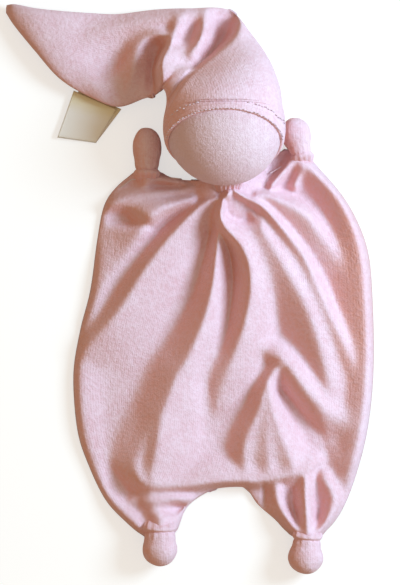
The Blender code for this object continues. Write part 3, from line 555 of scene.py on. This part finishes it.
def dentShape(places, table):
    # the deepest dent at each place
    total = np.zeros(len(places))
    for points in table.values():
        near, distance, depth, width = besidePath(places, points, 1)
        share = np.clip(distance / width, 0, 1)
        total[near] = np.maximum(total[near], depth * (1 - share ** 2) ** 2)
    return total


def foldHeight(places):
    # the cloth rises in a dome under the neck, and the folds run out of it
    power = blanket["foldPower"]
    dome = (blanket["domeHeight"] * closeTo(neckPlace, blanket["domeReach"], places)) ** power
    return (dome + foldShape(places, folds, power)) ** (1 / power) - dentShape(places, dents)


def rimHeight(places):
    height = np.full(len(places), blanket["rim"])
    for ball in balls.values():
        top = ball["tie"][2] - blanket["tieDrop"]
        height += (top - height) * closeTo(ball["tie"], blanket["tieReach"], places)
    top = neckPlace[2] - blanket["neckDrop"]
    return height + (top - height) * closeTo(neckPlace, blanket["neckReach"], places)


def edgeRound(places):
    # 0 at the blanket's sides and hem, rising like a quarter of a circle to 1 inside them
    distance = nearPath(places, outline)[0]
    t = np.clip(distance / blanket["rimRound"], 0, 1)
    return np.sqrt(1 - (1 - t) ** 2)


def frontHeight(places):
    rim = rimHeight(places)
    full = np.maximum(blanket["base"] + foldHeight(places), rim)
    return rim + (full - rim) * edgeRound(places)


def buildFrontCloth():
    bm, shares = gridMesh(blanket)
    places = clothPatch(shares)
    row, column = gridSpots(shares, blanket)
    heights = np.zeros((blanket["along"] + 1, blanket["across"] + 1))
    heights[row, column] = frontHeight(places)
    heights = smoothGrid(heights, blanket["softening"])
    layCloth(bm, np.column_stack([places, heights[row, column]]), shares * blanket["flat"])
    # the edge turns down, and in towards the middle
    rim = [e for e in bm.edges if e.is_boundary]
    middleX, middleY = blanket["middle"]
    for v in bmesh.ops.extrude_edge_only(bm, edges=rim)["geom"]:
        if isinstance(v, bmesh.types.BMVert):
            v.co.z -= blanket["edgeDrop"] * mm
            toMiddle = Vector((middleX * mm - v.co.x, middleY * mm - v.co.y, 0)).normalized()
            v.co += toMiddle * blanket["edgeTuck"] * mm
    return finishPiece("frontCloth", bm, blanketVelour)


frontCloth = buildFrontCloth()
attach(frontCloth, "blanket")
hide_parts("front_panel")
print("upper layer laid:", len(frontCloth.data.polygons), "faces")

backLook = {
    "across": 90, "along": 110, "wall": 1.2,
    "below": 0.9,  # how far its edge lies below the upper layer's
    "lift": 0.5, "wave": 1.4, "waveSize": (26, 38), "waveSeed": 7.0, "waveRise": 0.2,
    "neckLift": 9, "neckReach": (5, 34),
}


def buildBackCloth():
    bm, shares = gridMesh(backLook)
    places = clothPatch(shares)
    rim = rimHeight(places) - backLook["below"]
    wide, long = backLook["waveSize"]
    waves = np.array([noise.noise(Vector((x / wide, y / long, backLook["waveSeed"]))) for x, y in places])
    waves = np.clip(waves + backLook["waveRise"], 0, 1)
    floor = backLook["wall"] + backLook["lift"] + backLook["wave"] * waves
    floor += backLook["neckLift"] * closeTo(neckPlace, backLook["neckReach"], places)
    heights = rim + (np.minimum(floor, rim) - rim) * edgeRound(places)
    layCloth(bm, np.column_stack([places, heights]), shares * blanket["flat"])
    piece = finishPiece("backCloth", bm, blanketVelour)
    addWall(piece, backLook["wall"])
    return piece


backCloth = buildBackCloth()
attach(backCloth, "blanket")
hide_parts("back_panel")
print("lower layer laid")


# stuffed balls at the four corners, each with the gathered cloth of its neck

stuffing = {"pressure": 4, "stiffness": 30, "steps": 20}
ballLook = {
    "fromTie": 1.2, "shrink": 0.9, "voxel": 1.8, "swellLimit": 1.6, "lumps": 0.05, "lumpSize": 1.6,
    "neckInside": 0.7, "neckLength": 4.0,
    "pleats": 13, "pleatDepth": 0.45, "pleatReach": (0.15, 1.0), "pleatFrom": 0.5,
}
collarLook = {
    "across": 104, "along": 22, "wall": 1.0, "uv": (0.075, 0.018), "blendFrom": 5, "blendTo": 2.5,
    "pleats": ((13, 0.8), (7, 2.0)), "pleatDepth": 0.45, "pleatEnd": 1.15,
    # stations: place along the way out, what is taken off the neck's half width, share of the cuff added,
    # half height as a share of the neck, what is taken off it, share of the cuff added, drop of the middle
    "stations": [
        (-11.0, 3.5, 0, 0, -1.0, 0, 8.0), (-7.5, 2.5, 0, 0.3, 0, 0, 5.5), (-4.0, 1.0, 0, 0.65, 0, 0, 2.5),
        (-1.2, 0, 0, 1, 0.8, 0, 0.5), (0.4, 0, 0.3, 1, 0.3, 0, 0), (1.6, 0, 1, 1, 0.2, 1, 0),
        (2.6, 1.0, 1, 1, 1.0, 1, 0),
    ],
}
tubeLowest = 0.8  # a gathered tube is flat where it would go below this


def swell(piece, limit, voxel):
    # fills a cover with wool: an even net of faces, then air pressure inside it until the cloth is tight
    even = piece.modifiers.new("even faces", "REMESH")
    even.mode = "VOXEL"
    even.voxel_size = voxel * mm
    graph = bpy.context.evaluated_depsgraph_get()
    mesh = bpy.data.meshes.new_from_object(piece.evaluated_get(graph))
    piece.modifiers.clear()
    piece.data = mesh
    start = np.array([v.co for v in mesh.vertices])
    cover = piece.modifiers.new("stuffing", "CLOTH").settings
    cover.use_pressure = True
    cover.uniform_pressure_force = stuffing["pressure"]
    cover.effector_weights.gravity = 0
    cover.tension_stiffness = cover.compression_stiffness = stuffing["stiffness"]
    scene = bpy.context.scene
    for step in range(stuffing["steps"]):
        scene.frame_set(step + 1)
    graph = bpy.context.evaluated_depsgraph_get()
    swollen = piece.evaluated_get(graph)
    moved = np.array([v.co for v in swollen.data.vertices]) - start
    size = np.linalg.norm(moved, axis=1, keepdims=True)
    moved *= np.minimum(1, limit * mm / np.maximum(size, 1e-9))
    piece.modifiers.clear()
    scene.frame_set(1)
    mesh.vertices.foreach_set("co", (start + moved).astype(np.float32).ravel())
    mesh.update()


def ballWays(ball):
    # the way a ball points, and the way across it
    wx, wy = ball["way"]
    return np.array((wx, wy, 0.0)), np.array((-wy, wx, 0.0))


def shapeBall(ball, middle):
    # a lumpy egg whose near end runs on as a neck into the tie
    bm = bmesh.new()
    bmesh.ops.create_icosphere(bm, subdivisions=4, radius=1)
    half = np.array((ball["width"], ball["length"], ball["width"])) / 2 - ballLook["shrink"]
    neck = ball["neck"] - ballLook["neckInside"]
    neckFrom = math.sqrt(1 - (neck / half[0]) ** 2)
    for v in bm.verts:
        lump = noise.noise(v.co * ballLook["lumpSize"] + Vector((ball["seed"], 0, 0)))
        x, y, z = half * np.array(v.co) * (1 + ballLook["lumps"] * lump)
        inNeck = (-v.co.y - neckFrom) / (1 - neckFrom)
        if inNeck > 0:
            out = math.hypot(x, z)
            wider = neck * math.sqrt(max(0, 1 - inNeck ** 4)) / max(out, 0.01)
            x, y, z = x * wider, y - ballLook["neckLength"] * inNeck, z * wider
        v.co = Vector((x, y, z)) * mm
    wx, wy = ball["way"]
    turn = Matrix.Rotation(math.atan2(wy, wx) - math.pi / 2, 3, "Z")
    bmesh.ops.rotate(bm, verts=bm.verts, matrix=turn, cent=(0, 0, 0))
    bmesh.ops.translate(bm, verts=bm.verts, vec=Vector(middle) * mm)
    return bm


def pleatBall(mesh, ball, middle):
    # pleats run from the neck over the near end of the ball
    way, side = ballWays(ball)
    for v in mesh.vertices:
        off = np.array(v.co) / mm - middle
        toNeck = float(softStep(*ballLook["pleatReach"], -off @ way / (ball["length"] / 2)))
        around = math.atan2(off[2], off @ side)
        out = off - way * (off @ way)
        reach = np.linalg.norm(out)
        if reach > ballLook["pleatFrom"]:
            out /= reach
            v.co += Vector(out * ballLook["pleatDepth"] * toNeck * math.cos(ballLook["pleats"] * around)) * mm


def buildBall(name):
    ball = balls[name]
    middle = np.array(ball["tie"]) + ballWays(ball)[0] * (ballLook["fromTie"] + ball["length"] / 2)
    piece = finishPiece(name + "Ball", shapeBall(ball, middle), ballVelour)
    swell(piece, ballLook["swellLimit"], ballLook["voxel"])
    pleatBall(piece.data, ball, middle)
    piece.data.shade_smooth()
    addSubdivision(piece, 1)
    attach(piece, ball["body"])
    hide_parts(ball["body"] + "_cover", ball["body"] + "_stuffing")


def gatheredTube(name, look, stations, neck, start, way, side):
    # a pleated tube of cloth; its stations have place along its way, half width, half height, middle height
    bm, shares = gridMesh(look)
    along, halfWidth, halfHeight, middle = alongPath(smoothPath(stations), shares[:, 1]).T
    angle = 2 * np.pi * shares[:, 0]
    even, slower = (np.cos(count * angle + turn) for count, turn in look["pleats"])
    fade = np.sin(np.pi * np.clip(shares[:, 1] * look["pleatEnd"], 0, 1)) if "pleatEnd" in look else 1
    ripple = 1 + look["pleatDepth"] * fade / neck * (even + 0.4 * slower)
    out = halfWidth * ripple * np.cos(angle)
    places = start + along[:, None] * way + out[:, None] * side
    places[:, 2] = np.maximum(middle + halfHeight * ripple * np.sin(angle), tubeLowest)
    layCloth(bm, places, shares * look["uv"])
    return closedPiece(name, bm, blanketVelour, look["wall"])


def buildNeckCollar(name):
    # the bunched cloth between blanket and ball, drawn in by the tie
    ball = balls[name]
    neck, cuff = ball["neck"], ball["cuff"]
    way, side = ballWays(ball)
    tie = np.array(ball["tie"])
    stations = [
        (along, neck - narrower + wide * cuff, tall * neck - lower + high * cuff, tie[2] - drop)
        for along, narrower, wide, tall, lower, high, drop in collarLook["stations"]]
    collar = gatheredTube(name + "Collar", collarLook, stations, neck, tie * (1, 1, 0), way, side)
    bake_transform(collar)
    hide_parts(ball["body"] + "_tie")


for name in balls:
    buildBall(name)
    buildNeckCollar(name)
print("corner balls stuffed and tied")


# the head: a stuffed blank face, and the cap that is sewn round it

faceSizes = {"voxel": 4.0, "shrink": 0.9, "swellLimit": 1.5}


def buildFace():
    bm = bmesh.new()
    bmesh.ops.create_icosphere(bm, subdivisions=5, radius=1)
    half = headHalf - faceSizes["shrink"]
    for v in bm.verts:
        v.co = Vector(half * np.array(v.co) + headPlace) * mm
    face = finishPiece("face", bm, faceVelour)
    swell(face, faceSizes["swellLimit"], faceSizes["voxel"])
    face.data.shade_smooth()
    addSubdivision(face, 2)
    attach(face, "head")
    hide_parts("face_cover", "head_stuffing")


buildFace()
print("head stuffed")

cap = {
    "across": 176, "along": 260, "hoodRows": 110, "steps": 24, "wall": 1.3, "lowest": 0.8,
    # the seam allowance makes a raised band of rows next to the face, on the upper side
    "bandHeight": 0.6, "bandRise": (1, 3), "bandRows": (26, 31), "bandSide": (-0.6, 0.5),
    # rings on the head: tilt, offset, distance out from its surface; the first is tucked in at the face
    "onHead": [(56, 0.315, -0.9), (56.2, 0.297, 0.1), (57.5, 0.225, 0.7), (63, 0.07, 0.9), (73, -0.14, 1.0)],
    # rings behind it: middle x and y, half width and height as shares of the head, heading, sag
    "free": [
        (0.00, 0.42, 0.965, 1.96, 90, 1.00), (-0.03, 0.66, 0.950, 1.83, 94, 1.00),
        (-0.14, 0.92, 0.925, 1.50, 105, 0.95), (-0.31, 1.14, 0.905, 1.04, 121, 1.10),
    ],
    # the crease where the tip falls over, and the tip's sections, given in the same way in millimetres
    "tip": [
        (2.8, 167.8, 37.5, 27, 140, 1.5), (-13.0, 166.6, 33.0, 22, 158, 0.65),
        (-28.0, 165.5, 31.5, 17, 172, 0.65), (-50.4, 161.3, 32.5, 13, 180, 0.65),
        (-69.9, 165.0, 29.4, 15, 180, 0.65), (-91.0, 172.0, 23.8, 17.5, 180, 0.65),
        (-108.5, 182.8, 15.0, 17, 180, 0.65), (-122.5, 193.0, 7.7, 12, 178, 0.65),
        (-128.8, 197.7, 2.8, 6, 175, 0.65),
    ],
    # how sharply the folds meet, where they begin, where they fade towards the point, their least height
    "hoodPower": 9, "hoodSide": (-0.1, 0.35), "tipPower": 4, "tipBase": 12.0, "tipLowest": 2.5,
    "grooveSide": (-1.0, 1.2), "foldsFade": (-84, -56), "softening": 3, "foldsLowest": 3.5,
    "flat": (0.230, 0.250), "area": 0.040,
}
# ridges and dents on the cap's upper side, given as the blanket's folds are; the tip's are whole heights
capRidges = ridgesFrom({
    "strip": (4, [
        (180, 20, 23, 30, 12), (177, 30, 27, 40, 11), (174, 40, 29.5, 50, 8), (171, 47, 34, 120, 6),
        (168, 54, 39, 200, 6), (164, 62, 44, 260, 6), (162, 70, 47.5, 280, 7), (163, 78, 51, 300, 7),
        (164, 86, 53.5, 300, 7), (165, 94, 54, 300, 7), (164, 103, 51, 280, 7), (160, 115, 42, 240, 8),
        (155, 126, 33, 200, 8)]),
    "topRidge": (4, [
        (206, 12, 23, 12, 9), (204, 24, 27, 14, 8), (202, 36, 31, 16, 8), (199, 46, 34, 18, 10),
        (193, 56, 35, 18, 14)]),
    "arch": (3, [
        (172, 42, 30, 10, 9), (166, 38, 27, 9, 11), (157, 36, 24, 9, 13), (147, 39, 20.5, 10, 20),
        (140, 47, 19.5, 12, 24), (137, 58, 19, 14, 28), (134, 70, 17, 14, 28), (131, 82, 13, 12, 24),
        (127, 93, 8, 8, 20)]),
    "topEdge": (6, [
        (196, 16, 21, 16, 14), (172, 19, 22, 22, 16), (140, 23, 19, 18, 18), (110, 30, 16, 20, 22),
        (84, 38, 16, 24, 26), (60, 44, 15, 24, 26)]),
    "westBelly": (8, [
        (98, 92, 15, 22, 22), (86, 82, 16, 24, 24), (72, 72, 16, 26, 26), (56, 60, 15, 26, 26)]),
})
capDents = dentsFrom({
    "upperDent": [(234, 16, 4, 4, 16), (231, 28, 8, 4, 22), (224, 40, 8, 4, 18), (216, 50, 3, 4, 10)],
    "groove": [
        (214, 54, 2, 2, 4), (205, 64, 3, 2, 4), (192, 77, 4, 2, 4), (183, 87, 5, 2, 4), (176, 97, 5, 2, 4),
        (170, 107, 5, 2, 4), (164, 118, 4, 2, 4)],
    "smallDent": [(192, 24, 1.5, 4, 20), (190, 32, 4, 6, 22), (186, 39, 4.5, 8, 20), (180, 45, 2.5, 6, 14)],
    "pocket": [(157, 49, 2, 7, 10), (155, 62, 6, 8, 11), (153, 78, 6, 8, 9), (152, 88, 3, 7, 8)],
    "westDent": [(124, 52, 2, 8, 12), (117, 60, 4, 10, 16), (110, 68, 4, 12, 16), (102, 74, 2, 10, 12)],
})
hoodRidges = ridgesFrom({
    "hoodRim": (4, [
        (240, 14, 20, 50, 3), (238, 24, 25, 60, 3), (232, 38, 29, 80, 3), (218, 51, 34, 110, 3),
        (205, 64, 40, 130, 3), (192, 77, 46, 140, 3), (183, 87, 51, 150, 3), (176, 97, 53, 150, 3),
        (170, 107, 52, 140, 3), (164, 118, 47, 120, 3)]),
})
hoodDents = dentsFrom({
    "grooveSide": [
        (238, 22, 1, 2, 2), (218, 51, 1.5, 2, 2), (192, 77, 2, 2, 2), (176, 97, 2, 2, 2),
        (164, 118, 2, 2, 2)],
})
capGroove = [fromPhoto(x, y) for x, y in [
    (246, 6), (239, 20), (232, 37), (218, 51), (205, 64), (192, 77), (183, 87), (176, 97), (170, 107),
    (164, 118), (157, 130), (148, 146),
]]


def headRing(tilt, offset, angle, outside):
    # a ring cut from the head's surface by a leaning plane
    tilt = math.radians(tilt)
    looks = np.array((0, -math.sin(tilt), math.cos(tilt)))
    top = np.array((0, math.cos(tilt), math.sin(tilt)))
    radius = math.sqrt(1 - offset * offset)
    around = np.cos(angle)[:, None] * np.array((1.0, 0, 0)) + np.sin(angle)[:, None] * top
    unit = looks * offset + radius * around
    return headPlace + unit * (headHalf + outside)


def saggingRing(x, y, halfWidth, height, heading, sag, angle):
    # a section of the empty cap, standing on the floor across its heading
    heading = math.radians(heading)
    lift = ((1 + np.sin(angle)) / 2) ** sag
    across = np.array((math.sin(heading), -math.cos(heading)))
    flatPlace = np.array((x, y)) + (halfWidth * np.cos(angle))[:, None] * across
    return np.column_stack([flatPlace, cap["lowest"] + (height - cap["lowest"]) * lift])


def capRings(angle):
    rings = [headRing(tilt, offset, angle, outside) for tilt, offset, outside in cap["onHead"]]
    for x, y, halfWidth, height, heading, sag in cap["free"]:
        x, y = headPlace[:2] + (x, y) * headHalf[:2]
        rings.append(saggingRing(x, y, halfWidth * headHalf[0], height * headHalf[2], heading, sag, angle))
    rings += [saggingRing(*section, angle) for section in cap["tip"]]
    return np.array(rings)


def capRows(angle):
    # rows of places from the face to the point, along a smooth curve through the rings for each column
    rings = capRings(angle)
    steps = cap["steps"]
    dense = np.stack([smoothPath(rings[:, k], steps) for k in range(len(angle))], 1)
    crease = len(cap["onHead"]) + len(cap["free"])
    spots = np.interp(
        np.arange(cap["along"] + 1), [0, cap["hoodRows"], cap["along"]],
        [0, crease * steps, (len(rings) - 1) * steps])
    low = np.minimum(np.floor(spots).astype(int), len(dense) - 2)
    part = (spots - low)[:, None, None]
    return dense[low] * (1 - part) + dense[low + 1] * part


def raiseBand(rows, angle):
    spread = np.arange(len(rows))
    band = cap["bandHeight"] * softStep(*cap["bandRise"], spread) * (1 - softStep(*cap["bandRows"], spread))
    onTop = softStep(*cap["bandSide"], np.sin(angle))
    outward = rows - headPlace
    away = np.linalg.norm(outward, axis=2, keepdims=True)
    return rows + (band[:, None] * onTop)[:, :, None] * outward / away


def hoodRise(rows, angle):
    # how much the folds beside the groove lift the cloth
    flat = rows.reshape(-1, 3)[:, :2]
    power = cap["hoodPower"]
    ridges = foldShape(flat, hoodRidges, power).reshape(rows.shape[:2])
    raised = (rows[:, :, 2] ** power + ridges) ** (1 / power)
    raised -= dentShape(flat, hoodDents).reshape(rows.shape[:2])
    return (raised - rows[:, :, 2]) * softStep(*cap["hoodSide"], np.sin(angle))


def tipRise(rows, angle):
    # left of the groove the tip's upper side lies in the folds it has fallen into
    flat = rows.reshape(-1, 3)[:, :2]
    distance, side, _ = nearPath(flat, smoothPath(capGroove))
    share = softStep(*cap["grooveSide"], -side * distance) * softStep(*cap["foldsFade"], flat[:, 0])
    power = cap["tipPower"]
    folded = (cap["tipBase"] ** power + foldShape(flat, capRidges, power)) ** (1 / power)
    folded -= dentShape(flat, capDents)
    share, folded = share.reshape(rows.shape[:2]), folded.reshape(rows.shape[:2])
    lift = np.clip(np.sin(angle), 0, 1) ** 0.5
    rim = rows[:, :1, 2]
    laid = rim + (np.maximum(folded, cap["tipLowest"]) - rim) * lift
    return np.where(np.sin(angle) > 0, share * (laid - rows[:, :, 2]), 0)


def buildCap():
    bm, shares = gridMesh(cap)
    angle = 2 * np.pi * np.linspace(0, 1, cap["across"] + 1)
    rows = raiseBand(capRows(angle), angle)
    rows[:, :, 2] += hoodRise(rows, angle)
    height = rows[:, :, 2]
    rise = smoothGrid(tipRise(rows, angle), cap["softening"])
    rows[:, :, 2] = np.maximum(height + rise, np.minimum(height, cap["foldsLowest"]))
    row, column = gridSpots(shares, cap)
    layCloth(bm, rows[row, column], shares * cap["flat"])
    return closedPiece("capCloth", bm, blanketVelour, cap["wall"])


stitch = {
    "count": 96, "thick": 0.34, "sides": 5, "points": 5, "length": 2.6, "shortest": 0.6, "uneven": 0.5,
    "arch": 0.9, "sunk": 0.35, "headReach": 40,
    "above": 9.0,  # none is shown lower than this above the head's middle
    # rows: tilt, offset, distance out from the head's surface, unevenness, where it begins and ends
    "rows": [(56.1, 0.303, 0.8, 0.015, -1, 7), (60.5, 0.08, 1.3, 0.05, 0.25, 2.9)],
    "seeds": (0.3, 10.3, 20.3), "seedStep": 1.7, "seedRow": 5.0,
}


def addStitch(bm, spine):
    # one loop of thread, a closed tube along its spine
    ring = bmesh.ops.create_circle(bm, segments=stitch["sides"], radius=stitch["thick"] * mm)["verts"]
    loops = [ring]
    for _ in spine[1:]:
        edges = [e for e in bm.edges if e.verts[0] in loops[-1] and e.verts[1] in loops[-1]]
        grown = bmesh.ops.extrude_edge_only(bm, edges=edges)["geom"]
        loops.append([g for g in grown if isinstance(g, bmesh.types.BMVert)])
    ways = np.vstack([spine[1:], spine[-1:]]) - np.vstack([spine[:1], spine[:-1]])
    for point, way, loop in zip(spine, ways, loops):
        turnTo = Vector(way).to_track_quat("Z", "Y")
        middle = sum((v.co for v in loop), Vector()) / len(loop)
        for v in loop:
            v.co = Vector(point) * mm + turnTo @ (v.co - middle)
    for loop in (loops[0], loops[-1]):
        bmesh.ops.contextual_create(bm, geom=loop)


def buildStitches():
    # short loops of thread round the face, and again along the seam allowance's other edge
    bm = bmesh.new()
    points = stitch["points"]
    turns = np.linspace(0, 2 * np.pi, stitch["count"], endpoint=False)
    for row, (tilt, offset, outside, uneven, begin, end) in enumerate(stitch["rows"]):
        for k, turn in enumerate(turns):
            if not begin < turn < end:
                continue
            seed = (k * stitch["seedStep"], row * stitch["seedRow"])
            wobble = [noise.noise(Vector((*seed, at))) for at in stitch["seeds"]]
            span = stitch["length"] / headHalf[0] * (stitch["shortest"] + stitch["uneven"] * wobble[0])
            steps = np.linspace(turn - span / 2, turn + span / 2, points)
            spine = headRing(tilt, offset + uneven * wobble[1], steps, outside)
            if spine[points // 2, 2] < headPlace[2] + stitch["above"]:
                continue
            arch = stitch["arch"] * (1 + wobble[2]) * np.sin(np.pi * np.linspace(0, 1, points))
            outward = (spine - headPlace) / stitch["headReach"]
            addStitch(bm, spine + outward * (arch - stitch["sunk"])[:, None])
    bmesh.ops.recalc_face_normals(bm, faces=bm.faces)
    return finishPiece("seamStitches", bm, seamThread)


seamStitches = buildStitches()
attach(seamStitches, "head")
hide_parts("hood_seam_thread")

capCloth = buildCap()
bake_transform(capCloth)
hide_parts("hood", "cap_tip", "cap_seam_thread")
print("cap sewn")


# the gathered neck under the chin

neckLook = {
    "across": 136, "along": 26, "wall": 1.0, "uv": (0.12, 0.03), "width": 8,
    "pleats": ((17, 0), (11, 1)), "pleatDepth": 0.8,
    "stations": [
        (62.0, 7.0, 2.5, 13.0), (65.0, 7.5, 3.5, 17.0), (68.0, 8.0, 4.0, 21.0), (71.0, 8.0, 4.5, 24.5),
        (76.0, 9.5, 5.5, 28.0), (82.0, 11.0, 7.0, 31.0),
    ],
}

across, upwards = np.eye(3)[:2]
neckGather = gatheredTube(
    "neckGather", neckLook, neckLook["stations"], neckLook["width"], neckPlace * across, upwards, across)
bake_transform(neckGather)
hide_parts("neck_gather", "neck_knot", "neck_tie")
print("neck gathered")


# the folded satin ribbon in the cap's seam

label = {
    "across": 28, "along": 60, "thickness": 0.35, "flat": (0.032, 0.034),
    "corners": [(-81.5, 140.5), (-51.5, 127.5), (-66.0, 104.0), (-93.0, 107.8)],
    "rootHeight": 4.6, "endHeight": 3.0, "lowest": 0.5, "curl": 0.8, "twist": 2.0,
    # the lower half lies this much lower, and to the side at the seam
    "gap": 1.1, "shift": 3.4, "bendFrom": 0.94, "bend": 0.12,
}


def buildLabel():
    bm, shares = gridMesh(label)
    rootLeft, rootRight, endRight, endLeft = (np.array(c) for c in label["corners"])
    # from the seam out to the fold, and back below it
    u, out = shares[:, 0], shares[:, 1] * 2
    v = np.where(out <= 1, out, 2 - out)
    bend = 0.5 - 0.5 * np.cos(np.pi * np.clip(out - label["bendFrom"], 0, label["bend"]) / label["bend"])
    left = rootLeft + v[:, None] * (endLeft - rootLeft)
    right = rootRight + v[:, None] * (endRight - rootRight)
    places = left + u[:, None] * (right - left)
    places[:, 0] += bend * label["shift"] * (1 - v)
    curl = -label["curl"] * np.sin(np.pi * v) - label["twist"] * (u - 0.5) * v
    height = label["rootHeight"] * (1 - v) + label["endHeight"] * v + curl - bend * label["gap"]
    height = np.maximum(height, label["lowest"])
    layCloth(bm, np.column_stack([places, height]), np.column_stack([u, v]) * label["flat"])
    ribbon = finishPiece("labelRibbon", bm, labelSatin)
    addWall(ribbon, label["thickness"], 0)
    return ribbon


labelRibbon = buildLabel()
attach(labelRibbon, "label")
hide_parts("care_label")
print("ribbon sewn in")

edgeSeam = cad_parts["edge_seam_thread"].data
edgeSeam.materials.clear()
edgeSeam.materials.append(seamThread)


# floor, light and camera

studio = {
    "floorSize": 3.0, "floorColour": 0.50, "floorGlow": 0.62,
    "keyPower": 16.6, "keyColour": (0.62, 0.83, 1.0), "keyFrom": (18, 37), "keySize": 0.45,
    "keyAway": 1.2, "keyAim": (0.02, 0.0, 0.01), "skyColour": (1.0, 0.76, 0.48), "skyStrength": 0.47,
    "cameraPlace": (0.0070, -0.0011), "cameraAway": 2.2, "viewHeight": 0.4095, "viewPlane": 0.008,
    "film": 36, "seesTo": 20,
}


def buildFloor():
    bm = bmesh.new()
    bmesh.ops.create_grid(bm, x_segments=1, y_segments=1, size=studio["floorSize"] / 2)
    n = Nodes("pale floor")
    path = n.add("ShaderNodeLightPath").outputs
    mirrored = n.number("MAXIMUM", path["Is Glossy Ray"], path["Is Transmission Ray"])
    seen = n.number("MAXIMUM", path["Is Camera Ray"], mirrored)
    grey = studio["floorColour"]
    n.surface((grey, grey, grey), {
        "Roughness": 1, "Specular IOR Level": 0, "Emission Color": (1, 1, 1),
        "Emission Strength": n.times(seen, studio["floorGlow"])})
    finishPiece("floor", bm, n.material)


def buildLight():
    lamp = bpy.data.lights.new("window light", "AREA")
    lamp.energy, lamp.color, lamp.size = studio["keyPower"], studio["keyColour"], studio["keySize"]
    azimuth, elevation = map(math.radians, studio["keyFrom"])
    level = math.cos(elevation)
    away = Vector((level * math.cos(azimuth), level * math.sin(azimuth), math.sin(elevation)))
    light = addObject("window light", lamp)
    light.location = Vector(studio["keyAim"]) + away * studio["keyAway"]
    light.rotation_euler = away.to_track_quat("Z", "Y").to_euler()
    world = bpy.data.worlds.new("studio")
    bpy.context.scene.world = world
    world.use_nodes = True
    sky = world.node_tree.nodes["Background"]
    sky.inputs["Color"].default_value = (*studio["skyColour"], 1)
    sky.inputs["Strength"].default_value = studio["skyStrength"]


def buildCamera():
    camera = bpy.data.cameras.new("camera")
    camera.sensor_width = studio["film"]
    camera.lens = studio["film"] * studio["cameraAway"] / studio["viewHeight"]
    camera.clip_end = studio["seesTo"]
    item = addObject("camera", camera)
    item.location = (*studio["cameraPlace"], studio["viewPlane"] + studio["cameraAway"])
    bpy.context.scene.camera = item
    bpy.context.scene.view_settings.view_transform = "Standard"


buildFloor()
buildLight()
buildCamera()
print("stage set")
